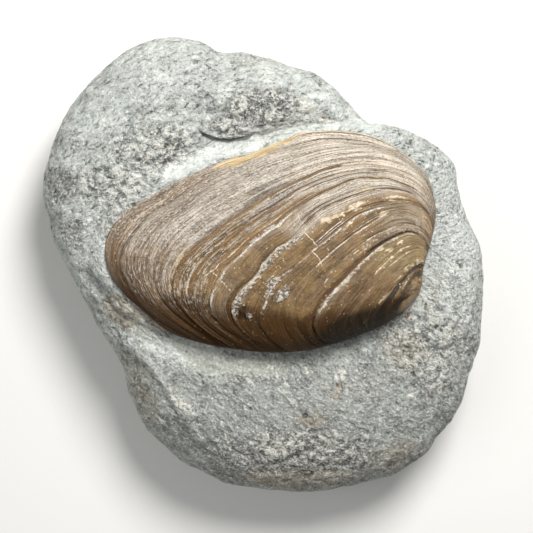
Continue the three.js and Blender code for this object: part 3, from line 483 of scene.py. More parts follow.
# Coloured bands and marks: mask, line of (t, s), half-width in s, raggedness, strength.
BANDS = [
    # the beak and the tongue below it
    ("gold", [(.04, .022), (.75, .024)], .018, .006, .55),
    ("cream", [(.08, .034), (.62, .036)], .008, .004, .55),
    ("dark", [(.0, .060), (.95, .060)], .009, .004, .6),
    ("pale", [(.33, .0735), (.56, .0735)], .0028, .002, .8),
    ("pale", [(.03, .081), (.12, .081)], .0028, .002, .6),
    ("pale", [(.56, .080), (.80, .080)], .0024, .002, .5),
    ("dark", [(.02, .090), (.30, .090)], .010, .003, 1.0),
    ("dark", [(.30, .092), (.5, .092)], .006, .003, .75),
    ("dark", [(.5, .090), (1.0, .090)], .009, .003, 1.0),
    ("cream", [(.04, .116), (.35, .120)], .013, .012, .55),
    ("cream", [(.38, .114), (.52, .114)], .006, .006, .7),
    ("cream", [(.71, .112), (.79, .112)], .005, .005, .7),
    ("brown", [(.2, .135), (.6, .138)], .004, .003, .5),
    ("brown", [(.28, .155), (.56, .158)], .016, .012, .55),
    ("cream", [(.1, .181), (.38, .181)], .003, .003, .5),
    ("brown", [(.08, .190), (.7, .190)], .005, .003, .6),
    ("cream", [(.14, .2015), (.52, .201)], .003, .003, .65),
    ("cream", [(.20, .238), (.245, .235)], .013, .016, .75),
    ("cream", [(.27, .236), (.315, .236)], .014, .016, .75),
    ("cream", [(.39, .234), (.43, .234)], .007, .010, .7),
    ("cream", [(.54, .228), (.575, .228)], .004, .006, .6),
    ("cream", [(.22, .201), (.24, .201)], .006, .003, .8),
    ("cream", [(.30, .201), (.32, .201)], .006, .003, .8),
    ("cream", [(.46, .203), (.48, .203)], .005, .003, .7),
    ("brown", [(.20, .2580), (.8, .2580)], .0040, .004, .35),
    ("pale", [(.12, .2800), (.50, .2795), (.80, .2790)], .0050, .010, .95),
    ("cream", [(.15, .2720), (.36, .2740), (.70, .2740)], .0045, .012, .6),
    ("cream", [(.31, .268), (.355, .268)], .007, .010, .9),
    ("pale", [(.54, .2800), (.70, .2795)], .0060, .010, .9),
    ("dark", [(.1, .3040), (.40, .3000)], .0080, .004, .75),
    ("brown", [(.38, .2960), (.95, .2950)], .0060, .004, .7),
    # right shoulder
    ("grey", [(.06, .330), (.42, .330)], .014, .012, .40),
    ("brown", [(.12, .3150), (.5, .3130)], .0030, .002, .5),
    ("pale", [(.10, .3240), (.30, .3220)], .0020, .002, .5),
    ("pale", [(.09, .3390), (.36, .3370)], .0020, .002, .5),
    ("pale", [(.09, .3625), (.35, .3530), (.5, .3440)], .0022, .002, .85),
    ("dark", [(.10, .3690), (.35, .3590), (.5, .3490)], .0028, .002, .6),
    ("pale", [(.14, .382), (.5, .372)], .0018, .002, .5),
    ("brown", [(.14, .388), (.5, .378)], .0022, .002, .6),
    ("pale", [(.22, .4000), (.50, .4000), (.58, .3990)], .0026, .0025, .95),
    ("brown", [(.25, .4075), (.56, .4070)], .0026, .002, .8),
    ("pale", [(.22, .4135), (.38, .4130)], .0022, .002, .7),
    ("brown", [(.24, .4190), (.55, .4170)], .0022, .002, .7),
    ("brown", [(.24, .4270), (.55, .4250)], .0020, .002, .6),
    ("pale", [(.30, .4310), (.46, .4310)], .0014, .002, .4),
    ("brown", [(.24, .4350), (.55, .4330)], .0022, .002, .7),
    ("cream", [(.195, .416), (.26, .414)], .014, .014, .85),
    ("pale", [(.22, .4530), (.50, .4520)], .0044, .006, .9),
    ("cream", [(.34, .4460), (.41, .4450)], .0060, .008, .85),
    ("cream", [(.24, .4460), (.34, .4480)], .0040, .008, .45),
    ("pale", [(.50, .4540), (.60, .4540)], .0030, .005, .75),
    ("pale", [(.62, .4540), (.81, .4530)], .0036, .004, .95),
    ("gold", [(.24, .4625), (.52, .4610)], .0034, .002, .45),
    ("brown", [(.30, .4640), (.52, .4635)], .0024, .001, .8),
    ("pale", [(.36, .4690), (.51, .4680)], .0020, .001, .9),
    ("dark", [(.36, .4730), (.51, .4720)], .0018, .001, .6),
    ("pale", [(.36, .4775), (.51, .4765)], .0022, .001, .9),
    ("brown", [(.2, .4860), (.5, .4850)], .0030, .002, .6),
    ("cream", [(.28, .512), (.36, .505), (.43, .522)], .015, .016, .85),
    ("pale", [(.33, .518), (.42, .524)], .009, .012, .6),
    ("gold", [(.22, .534), (.47, .549)], .0030, .002, .5),
    ("cream", [(.14, .490), (.22, .500)], .016, .018, .75),
    ("cream", [(.30, .484), (.33, .484)], .009, .010, .7),
    ("pale", [(.18, .5440), (.30, .5360), (.38, .5390), (.48, .5460)], .0040, .005, .65),
    ("brown", [(.12, .5560), (.46, .5570)], .0024, .002, .9),
    ("brown", [(.12, .5680), (.47, .5700)], .0036, .002, .95),
    ("brown", [(.14, .5620), (.47, .5640)], .0016, .001, .8),
    # the rough white rim where an old margin has broken
    ("pale", [(.47, .5500), (.56, .5530), (.83, .5530)], .0060, .012, .75),
    ("grey", [(.50, .5440), (.82, .5440)], .0090, .014, .75),
    ("cream", [(.66, .5480), (.73, .5480)], .0060, .010, .85),
    ("pale", [(.52, .5350), (.66, .5380)], .0030, .006, .5),
    ("gold", [(.50, .5250), (.80, .5250)], .0150, .012, .30),
    ("pale", [(.45, .4950), (.80, .4930)], .0012, .002, .35),
    ("pale", [(.45, .4750), (.80, .4730)], .0014, .002, .35),
    ("pale", [(.50, .5080), (.78, .5060)], .0012, .002, .30),
    ("grey", [(.64, .4600), (.75, .4600)], .0070, .014, .9),
    ("grey", [(.675, .4750), (.705, .4750)], .0200, .012, .9),
    ("grey", [(.695, .4230), (.76, .4250)], .0110, .012, .9),
    ("dark", [(.70, .4120), (.76, .4120)], .0030, .004, .5),
    ("pale", [(.745, .5350), (.785, .5180)], .0060, .008, .95),
    ("hole", [(.795, .5200), (.83, .5200)], .0260, .016, .55),
    ("grey", [(.80, .5000), (.83, .4900)], .0100, .012, .6),
    ("dark", [(.07, .3850), (.12, .3850)], .0100, .010, .5),
    ("cream", [(.56, .4220), (.60, .4220)], .0040, .006, .4),
    ("pale", [(.56, .3620), (.60, .3560)], .0020, .004, .6),
    ("cream", [(.41, .3340), (.45, .3340)], .0050, .006, .75),
    ("pale", [(.60, .3300), (.645, .3220)], .0020, .003, .5),
    # outer part of the shell
    ("brown", [(.1, .5850), (.47, .5870)], .0028, .002, .75),
    ("brown", [(.1, .6030), (.47, .6050)], .0020, .002, .5),
    ("pale", [(.24, .5780), (.45, .5790)], .0018, .002, .5),
    ("pale", [(.15, .5950), (.47, .5960)], .0026, .003, .5),
    ("cream", [(.24, .580), (.28, .584)], .0090, .010, .7),
    ("cream", [(.08, .650), (.16, .640)], .0160, .016, .55),
    ("cream", [(.10, .735), (.22, .745)], .0140, .014, .45),
    ("cream", [(.20, .665), (.30, .660)], .0100, .012, .55),
    ("pale", [(.44, .6360), (.80, .6360)], .0034, .006, .85),
    ("pale", [(.25, .6380), (.44, .6370)], .0030, .006, .4),
    ("pale", [(.505, .6470), (.545, .6500)], .0070, .012, .75),
    ("pale", [(.565, .6450), (.585, .6450)], .0060, .006, .8),
    ("pale", [(.48, .6330), (.60, .6330)], .0050, .008, .7),
    ("gold", [(.08, .6520), (.45, .6540), (.77, .6530)], .0070, .004, .75),
    ("brown", [(.2, .6490), (.62, .6490)], .0020, .002, .6),
    ("pale", [(.45, .6610), (.69, .6630), (.74, .6900)], .0020, .002, .85),
    ("gold", [(.36, .6690), (.72, .6700)], .0060, .003, .75),
    ("pale", [(.28, .6840), (.48, .6860), (.72, .6870)], .0050, .008, .45),
    ("cream", [(.66, .6860), (.73, .6860)], .0060, .008, .5),
    ("brown", [(.20, .6980), (.62, .6990)], .0022, .001, .8),
    ("gold", [(.05, .7000), (.30, .7000)], .0060, .004, .55),
    ("gold", [(.44, .7060), (.77, .7060)], .0060, .003, .85),
    ("gold", [(.08, .7150), (.45, .7150)], .0030, .002, .75),
    ("pale", [(.58, .7150), (.76, .7140)], .0026, .002, .9),
    ("cream", [(.74, .7140), (.80, .7140)], .0020, .002, .8),
    ("brown", [(.12, .7240), (.6, .7240)], .0020, .002, .6),
    ("pale", [(.38, .7310), (.57, .7300)], .0020, .002, .7),
    ("pale", [(.38, .7420), (.57, .7400)], .0022, .002, .7),
    ("pale", [(.62, .7400), (.80, .7360)], .0020, .002, .4),
    ("gold", [(.06, .7450), (.28, .7520)], .0050, .004, .55),
    ("gold", [(.28, .7640), (.5, .7620), (.7, .7500), (.82, .7460)], .0070, .003, .85),
    ("brown", [(.20, .7720), (.5, .7680), (.7, .7560), (.82, .7520)], .0030, .002, .7),
    ("pale", [(.43, .7910), (.55, .7880), (.66, .7790)], .0022, .002, .75),
    ("cream", [(.64, .7720), (.73, .7640)], .0070, .010, .75),
    ("cream", [(.76, .7500), (.81, .7560)], .0040, .006, .75),
    ("pale", [(.78, .7460), (.815, .7700)], .0050, .006, .6),
    ("gold", [(.66, .8160), (.76, .8100)], .0120, .010, .5),
    ("brown", [(.08, .7960), (.45, .8000)], .0024, .002, .6),
    ("gold", [(.06, .7900), (.30, .7900)], .0050, .005, .35),
    ("brown", [(.08, .8330), (.5, .8330)], .0024, .002, .5),
    ("grey", [(.30, .8500), (.62, .8500)], .0200, .020, .30),
    ("brown", [(.08, .8700), (.4, .8700)], .0024, .002, .5),
    ("brown", [(.10, .9150), (.4, .9150)], .0024, .002, .5),
    ("grey", [(.50, .9200), (.72, .9200)], .0200, .020, .40),
    ("brown", [(.20, .9480), (.34, .9500)], .0034, .006, .9),
    ("brown", [(.12, .9850), (.34, .9850)], .0040, .006, .8),
    ("gold", [(.05, .9600), (.20, .9600)], .0080, .008, .35),
    ("honey", [(.375, .9730), (.43, .9690), (.462, .9650)], .0350, .014, .90),
    ("honey", [(.330, .9860), (.400, .9830)], .0130, .010, .80),
    ("honey", [(.440, .9720), (.490, .9760)], .0140, .010, .75),
    ("dark", [(.62, .9440), (.85, .9440)], .0038, .008, .60),
    ("pale", [(.70, .9210), (.715, .9210)], .0045, .004, .9),
    ("pale", [(.767, .9150), (.775, .9150)], .0040, .003, .9),
    ("pale", [(.785, .8650), (.79, .8650)], .0040, .003, .6),
    ("pale", [(.82, .8720), (.83, .8720)], .0040, .003, .5),
    ("pale", [(.80, .6350), (.88, .6520)], .0120, .020, .35),
    ("grey", [(.06, .3800), (.16, .3700)], .0300, .020, .35),
]


CRACK = [(297, 213), (300, 220), (306, 227), (304, 232), (310, 238), (318, 247), (312, 251), (319, 258), (322, 266)]
CRACKLET = [(213, 273), (215.5, 275), (218, 278), (221, 281), (223.5, 283), (226, 286), (229, 289)]


ARCS = [
    ([(156, 280), (156.6, 271), (160, 260), (167, 252), (181, 244.5)], .90),
    ([(171, 297), (170.5, 286), (172, 276), (179, 259), (190, 245)], .75),
    ([(141, 262), (141.5, 252), (147, 243), (158, 236)], .60),
    ([(187, 298), (186, 288), (190, 272), (200, 257)], .80),
]


def band_masks(s, t, p, px, py):
    out = {k: np.zeros(len(s)) for k in ("pale", "cream", "gold", "brown", "dark", "grey", "hole", "honey")}
    ragged = noise(np.stack([s * 60, t * 55, s * 0 + 3.1], -1), 11) + 0.6 * noise(np.stack([s * 160, t * 140, s * 0], -1), 12)
    fine = noise(np.stack([s * 30, t * 26, s * 0], -1), 13)
    patchy = noise(np.stack([s * 40, t * 19, s * 0], -1), 14) + 0.5 * noise(np.stack([s * 90, t * 60, s * 0], -1), 15)
    for name, line, half, jag, strength in BANDS:
        ts, ss = [q[0] for q in line], [q[1] for q in line]
        off = s - np.interp(t, ts, ss)
        width = half * (1 + 0.45 * fine)
        d = np.abs(off + jag * ragged * np.where(off < 0, 1.0, 0.45)) / width
        fade = min(0.03, 0.35 * (ts[-1] - ts[0]))
        ends = smooth(ts[0] - fade, ts[0] + fade, t + 0.012 * ragged) * (1 - smooth(ts[-1] - fade, ts[-1] + fade, t + 0.012 * ragged))
        if name in ("pale", "cream"):
            strength = strength * np.clip(0.80 + 0.75 * patchy, 0.25, 1)
        out[name] = np.maximum(out[name], strength * (1 - smooth(0.6, 1.35, d)) * ends)
    # short arcs on the left part: a pale worn edge with a brown groove on its inner side
    for arc, strength in ARCS:
        worn = np.clip(0.45 + 0.9 * patchy, 0, 1)
        out["brown"] = np.maximum(out["brown"], 0.60 * strength * np.clip(0.7 + 0.8 * fine, 0, 1) * stroke(px - 2.4, py - 1.0, arc, 4.4))
        out["cream"] = np.maximum(out["cream"], strength * worn * stroke(px + 0.9 * ragged, py, arc, 2.2))
    return out


def shell_piece(material):
    rows = 322
    spots = [q[1] for line, a, j, f in STEPS if abs(a) > 0.09 for q in line[:1]]
    x = np.linspace(0, 1, 4001)
    density = 1 + sum(0.9 * np.exp(-((x - v) / 0.007) ** 2) for v in spots)
    total = np.concatenate([[0], np.cumsum((density[1:] + density[:-1]) / 2)])
    s = np.interp(np.linspace(0, total[-1], rows), total, x)
    s[0], s[-1] = 0, 1
    columns = 288
    c = np.linspace(0, 1, columns)
    tail = 1 - c
    c = np.where(tail < 0.06, 1 - tail**1.6 / 0.06**0.6, c)
    c = np.where(c < 0.03, c**1.35 / 0.03**0.35, c)
    F = growth_field(s, c)
    pull0, pull1 = snap(F[:, 0]) - F[:, 0], snap(F[:, -1]) - F[:, -1]
    F = F + pull0[:, None] * (1 - smooth(0, 0.06, c))[None, :, None] + pull1[:, None] * smooth(0.94, 1, c)[None, :, None]
    F[-1] = snap(F[-1])
    F[:, 0], F[:, -1] = snap(F[:, 0]), snap(F[:, -1])
    Xv, Yv = F[..., 0], F[..., 1]
    X, Y = Xv.copy(), Yv.copy()
    edge = np.zeros(X.shape, bool)
    edge[-1], edge[:, 0], edge[:, -1] = True, True, True
    for _ in range(4):
        Z = np.where(edge, seat(X), dome(X, Y))
        k = (EYE_Z - np.maximum(Z, 22.6)) / 227.4
        X = np.where(edge, Xv, EYE_X + (Xv - EYE_X) * k)
        Y = np.where(edge, Yv, EYE_Y + (Yv - EYE_Y) * k)
    Z = np.where(edge, seat(X), dome(X, Y))
    P = np.stack([X, Y, Z], -1)
    P[0] = P[0].mean(0)
    S = np.broadcast_to(s[:, None], X.shape)
    T = np.broadcast_to(c[None, :], X.shape)
    # normals of the grid, turned to point up, so that the steep ends stay orderly
    n = grid_normals(P, False)
    n = np.where(n[..., 2:3] < 0, -n, n)
    n[0] = n[1].mean(0)
    size = np.linalg.norm(n, axis=2, keepdims=True)
    n = np.where(size > 1e-6, n / np.maximum(size, 1e-6), np.array([0.0, 0.0, 1.0]))
    flat = lambda v: np.ascontiguousarray(v).reshape(-1)
    fs, ft, q = flat(S), flat(T), P.reshape(-1, 3)
    mm_s, mm_t = fs * 48, ft * 95
    rough_zone = smooth(.60, .72, fs) * smooth(.3, .45, ft) * (1 - smooth(.78, .86, ft)) * (1 - smooth(.93, .97, fs))
    rough_zone = rough_zone * (1 - .5 * smooth(.6, .75, ft) * smooth(.9, .95, fs))
    h = np.zeros(len(fs))
    wave = noise(np.stack([fs * 16, ft * 40, fs * 0], -1), 31)
    jagged = noise(np.stack([fs * 30, ft * 110, fs * 0], -1), 32)
    for line, height, jag, fades in STEPS:
        d = fs - np.interp(ft, [v[0] for v in line], [v[1] for v in line]) + jag * (0.7 * wave + 0.6 * jagged)
        side = smooth(-.0022, .0022, d)
        f = 0.52 * np.exp(-np.abs(d) / 0.021) * (1 - side) - 0.48 * np.exp(-np.abs(d) / 0.017) * side
        h += 1.4 * height * f * np.interp(ft, [v[0] for v in fades], [v[1] for v in fades])
    # between the main growth lines the shell bulges a little
    halts = np.array([.0985, .2028, .2860, .3530, .4035, .4600, .5600, .6440, .7010, .7700, .8301, .9485, 1.0])
    k_ = np.clip(np.searchsorted(halts, fs) - 1, 0, len(halts) - 2)
    part = np.clip((fs - halts[k_]) / (halts[k_ + 1] - halts[k_]), 0, 1)
    bulge = np.where(fs > halts[0], 2.6 * (halts[k_ + 1] - halts[k_]) * np.sin(math.pi * part**0.85), 0) * smooth(.02, .15, ft)
    line_noise = noise(np.stack([fs * 92, ft * 5, fs * 0], -1), 41)
    line_noise2 = noise(np.stack([fs * 44, ft * 4, fs * 0 + .5], -1), 42)
    coarse = noise(np.stack([fs * 20, ft * 4, fs * 0 + .5], -1), 43)
    h += 0.085 * line_noise + 0.150 * line_noise2 + 0.110 * coarse
    gravel = noise(np.stack([mm_s * 1.7, mm_t * 1.1, fs * 0], -1), 44) + 0.7 * noise(np.stack([mm_s * 3.1, mm_t * 2.2, fs * 0], -1), 45)
    px, py = to_px(q)
    masks = band_masks(fs, ft, q, px, py)
    h += rough_zone * 0.06 * gravel + 0.05 * masks["pale"] * (0.4 + gravel) + 0.30 * masks["grey"] * (0.7 + gravel)
    h += 0.10 * masks["cream"] * (0.5 + 0.3 * gravel) - 0.55 * masks["hole"]
    h += 0.03 * fbm(q / 2.2, 3, .55, 51) + 0.14 * noise(q / 7.5, 52) * smooth(.1, .3, fs)
    # the crack that crosses the growth lines near the middle
    h -= 0.05 * stroke(px, py, CRACK, 1.6)
    # keep the outline: the relief dies out in the last third of a millimetre before the margin
    d_edge = -margin_distance(q[:, 0], q[:, 1])
    near = smooth(0.0, 0.9, d_edge)
    h = h * (0.12 + 0.88 * near)
    relief = np.clip(0.5 + h * 1.6, 0, 1)
    h = h + bulge * near
    q = q + n.reshape(-1, 3) * h[:, None]
    q[: columns] = q[: columns].mean(0)
    # zones of colour
    z = {}
    wob = 0.05 * noise(np.stack([fs * 8, ft * 9, fs * 0], -1), 61)
    a, b = fs + 0.6 * wob, ft + wob
    # the pale upper zone: weathered pale skin, painted paler still as sheen where the upper flank faces the light
    z["z_pink"] = smooth(.50, .60, a) * (1 - smooth(.44, .56, b))
    z["z_pink"] = np.maximum(z["z_pink"], smooth(.73, .82, a) * (1 - smooth(.66, .80, b)))
    z["z_pink"] = z["z_pink"] * (1 - 0.85 * patch(px, py, 285, 212, 32, 13, 32)) * (1 - 0.55 * patch(px, py, 148, 262, 22, 26, -20))
    z["z_left"] = smooth(.84, .92, a) * smooth(.42, .55, b) * (1 - smooth(.76, .86, b))
    z["z_left"] = np.maximum(z["z_left"], 0.6 * patch(px, py, 148, 262, 20, 26, -20))
    z["z_tongue"] = (1 - smooth(.27, .30, a)) * smooth(.09, .12, a) * (1 - smooth(.36, .52, b))
    z["z_right"] = smooth(.27, .30, a) * (1 - smooth(.44, .52, a)) * (1 - smooth(.20, .34, b))
    z["z_edge"] = (1 - smooth(.03, .13, b)) * smooth(.10, .3, a)
    # the lower flank, the tongue's lower side and the lower margin are dark brown shell with painted shade added where
    # the dome turns from the light, deepest along the lower margin
    low = smooth(.73, .85, b) * smooth(.03, .06, a)
    z["z_low"] = low
    z["z_deep"] = (1 - smooth(.27, .285, a)) * smooth(.10, .13, a) * smooth(.50, .64, b)
    z["z_black_shade"] = smooth(.80, .93, b) * (1 - smooth(.26, .42, a)) * smooth(.03, .06, a)
    z["z_black_shade"] = np.maximum(z["z_black_shade"], patch(px, py, 350, 321, 34, 8, 22))
    attributes = {"grow_s": fs, "grow_t": ft, "relief": relief, "coarse": rough_zone}
    attributes.update({"m_" + k: np.clip(v, 0, 1) for k, v in masks.items()})
    z["z_tip"] = 1 - smooth(.030, .055, a)
    attributes.update(z)
    # skirt and underside
    G = q.reshape(rows, columns, 3)
    idx = np.arange(rows * columns).reshape(rows, columns)
    loop = np.concatenate([idx[1:, 0], idx[-1, 1:], idx[-2:0:-1, -1], idx[0, :1]])
    L = G.reshape(-1, 3)[loop]
    src = loop
    mx, my = MIDDLE
    low_rings = []
    for share, z_of in ((1.0, lambda v: seat(v) - 0.45), (1.0, lambda v: seat(v) - 1.1), (0.94, lambda v: v * 0 + SEAT_Z - 2.2), (0.8, lambda v: v * 0 + SEAT_Z - 2.8), (0.45, lambda v: v * 0 + SEAT_Z - 2.8)):
        low_rings.append(np.stack([mx + (L[:, 0] - mx) * share, my + (L[:, 1] - my) * share, z_of(L[:, 0])], -1))
    nl = len(loop)
    points = np.vstack([q] + low_rings + [np.array([[mx, my, SEAT_Z - 2.8]])])
    base = rows * columns
    quads = [grid_quads(rows, columns, False)]
    # the first row is one point: its quads become triangles
    first = quads[0][: columns - 1]
    quads[0] = quads[0][columns - 1:]
    k = np.arange(nl)
    k1 = (k + 1) % nl
    rings = [loop] + [base + j * nl + k for j in range(len(low_rings))]
    for a_, b_ in zip(rings[:-1], rings[1:]):
        quads.append(np.stack([a_[k], b_[k], b_[k1], a_[k1]], -1))
    last = rings[-1]
    centre = len(points) - 1
    tris = [np.stack([last[k], np.full(nl, centre), last[k1]], -1)]
    tip = idx[0, 0]
    tris.append(np.stack([np.full(columns - 1, tip), idx[1, :-1], idx[1, 1:]], -1))
    quads = np.vstack(quads)
    tris = np.vstack(tris)
    extra = len(points) - base
    for key in attributes:
        v = np.asarray(attributes[key], float)
        attributes[key] = np.concatenate([v] + [v[src]] * len(low_rings) + [v[:1]])
    # drop the repeated points of the first row
    remap = np.arange(len(points))
    remap[idx[0]] = tip
    quads, tris = remap[quads], remap[tris]
    keep = np.ones(len(points), bool)
    keep[idx[0, 1:]] = False
    new = np.cumsum(keep) - 1
    quads, tris = new[quads], new[tris]
    points = points[keep]
    attributes = {k_: v[keep] for k_, v in attributes.items()}
    return orient("shell", points, quads, tris, attributes, material)


def orient(name, points, quads, tris, attributes, material):
    """Makes the faces point out: the enclosed volume must be positive."""
    def volume(f):
        a, b, c = points[f[:, 0]], points[f[:, 1]], points[f[:, 2]]
        return np.einsum("ij,ij->i", a, np.cross(b, c)).sum()
    v = volume(tris) + volume(quads[:, [0, 1, 2]]) + volume(quads[:, [0, 2, 3]])
    if v < 0:
        quads, tris = quads[:, ::-1], tris[:, ::-1]
    print(name, "triangles", 2 * len(quads) + len(tris), "volume mm3", round(abs(v) / 6, 1))
    return make_mesh(name, points, quads, tris, attributes, material)


# ---------------------------------------------------------------- the nodule
def outline_radius(angle):
    u = np.mod(np.degrees(angle), 360) / 2.5
    v = np.array(OUTLINE_R)
    i = np.floor(u).astype(int)
    t = u - i
    a, b, c, d = (v[(i + k) % 144] for k in (-1, 0, 1, 2))
    return 0.5 * (2 * b + (c - a) * t + (2 * a - 5 * b + 4 * c - d) * t**2 + (3 * b - a - 3 * c + d) * t**3)


def even_radius(angle):
    total, weight = 0, 0
    for k in range(-12, 13):
        w = 1 + math.cos(k / 13 * math.pi)
        total = total + w * outline_radius(angle + math.radians(2.5 * k))
        weight += w
    return total / weight


def rim(angle, column):
    return along(RIM, np.degrees(angle), column, 360)


def lumps(x, y, z):
    return sum(h * np.sin(a * x + b * y + c * z + d) for a, b, c, d, h in LUMPS)


def face_height(x, y, distance):
    z = FACE_Z + 0 * x
    for cx, cy, a, b, turn, h in SWELLS:
        c, s = math.cos(math.radians(turn)), math.sin(math.radians(turn))
        u = ((x - cx) * c + (y - cy) * s) / a
        v = (-(x - cx) * s + (y - cy) * c) / b
        z = z + h * np.exp(-0.5 * (u * u + v * v))
    z = z + 0.35 * lumps(x, y, 0)
    past = (x - RIDGE_AT[0]) * RIDGE_OUT[0] + (y - RIDGE_AT[1]) * RIDGE_OUT[1]
    z = z - RIDGE_FALL * (np.sqrt(past * past + 1.5) + past) * 0.5
    return seat(x) + (z - seat(x)) * smooth(0.2, 5.0, distance)


def top_height(angle, share, x, y, distance):
    low = rim(angle, 1)
    rolled = low + (face_height(x, y, distance) - low) * np.sqrt(np.maximum(0, 1 - share ** rim(angle, 2)))
    shelf = (1 - smooth(0.3, 3.2, distance)) * (1 - smooth(0.95, 1, share))
    return rolled + (seat(x) - rolled) * shelf


def side_point(angle, q):
    base = rim(angle, 3)
    share = base + q * (1 - base)
    z = rim(angle, 1) * (1 - np.sqrt(np.maximum(0, 1 - q ** rim(angle, 4))))
    r = outline_radius(angle)
    even = r + (even_radius(angle) - r) * smooth(0, 0.45, 1 - q)
    swing = smooth(0, 0.12, 1 - q) * 1.1 * lumps(r * share * np.cos(angle), r * share * np.sin(angle), z)
    return np.minimum(r * 0.999, even * share + swing), z


# The lip of rock left above the cleared hollow, and its height over it, in plan-view units.
LIP = [(198, 129), (203, 132), (207, 135), (213, 137), (220, 138.5), (228, 139.5), (236, 138.5), (243, 136), (249, 135), (254, 132)]
CREAMS = [  # plan-view x, y, half-length, half-width, turn, strength
    (157, 152, 8, 3, 20, .9), (146, 160, 7, 3, 30, .9), (128, 170, 9, 4, 10, .8), (118, 163, 6, 2.5, 25, .7), (172, 163, 5, 3, 0, .7), (140, 183, 9, 4, 35, .7),
    (200, 150, 7, 3, 30, .6), (236, 64, 20, 7, -10, .45), (262, 72, 14, 5, -15, .35), (306, 106, 14, 6, -25, .75), (322, 118, 12, 5, -20, .7), (262, 142, 8, 3, 20, .6),
    (103, 225, 6, 9, 0, .6), (222, 425, 1.6, 3, 0, .9), (225, 436, 1.4, 4, 10, .9), (229, 447, 1.4, 4, 10, .9), (232, 458, 1.6, 3, 10, .9),
    (266, 428, 1.6, 5, 5, .8), (268, 438, 1.5, 4, 5, .8), (272, 450, 8, 1.8, -6, .95), (284, 449, 7, 2.2, 8, .95), (294, 441, 7, 2.2, 35, .85), (306, 432, 6, 2.0, 40, .8),
    (309, 455, 2.2, 6, 15, .9), (306, 462, 2.0, 4, -20, .9), (253, 470, 7, 3, 10, .7), (262, 474, 10, 3, 0, .6), (300, 478, 10, 3.5, -5, .6), (240, 466, 12, 3, 0, .5),
    (180, 405, 9, 7, 40, .75), (172, 392, 6, 5, 40, .6), (152, 366, 6, 3, 30, .6), (134, 348, 6, 2.5, 35, .6),
    (343, 374, 3, 8, -12, .95), (336, 380, 3, 4, 0, .7), (307, 372, 3, 5, 10, .8), (276, 380, 2, 4, -10, .8), (288, 384, 1.6, 4, 0, .8), (250, 383, 2, 5, 15, .8), (283, 392, 6, 1.6, 0, .6),
    (278, 369, 3, 2, 0, .7), (445, 337, 8, 4, 30, .8), (455, 331, 6, 4, 30, .8), (432, 322, 5, 3, 20, .7), (402, 353, 5, 2, 30, .6), (412, 395, 6, 2.5, 30, .7), (427, 401, 6, 2.5, 30, .8), (440, 385, 5, 4, 30, .8),
    (395, 410, 6, 2, 20, .6), (393, 457, 6, 2, 20, .6), (330, 446, 4, 1.6, 10, .7), (216, 402, 5, 1.6, -30, .5),
]
PITS = [  # plan-view x, y, radius in mm, depth in mm
    (462, 266, .60, .9), (458, 262, .45, .7), (463, 260, .35, .6), (430, 171, .35, .4), (320, 84, .45, .4), (161, 335, .2, .35), (186, 352, .22, .35),
    (223, 376, .22, .3), (200, 375, .3, .3), (203, 383, .35, .3), (250, 408, .4, .3), (258, 388, .3, .3),
    (337, 385, .4, .4), (331, 390, .4, .4), (348, 381, .3, .4), (305, 416, .7, .5), (311, 423, .5, .4),
    (436, 327, .5, .6), (441, 331, .4, .6), (448, 365, .4, .45), (417, 428, .35, .3), (388, 433, .5, .4),
    (397, 403, .4, .3), (413, 374, .35, .3), (404, 352, .4, .4), 
    (166, 145, .5, .3), (172, 142, .5, .3), (296, 466, .45, .3), (312, 472, .45, .3),
]


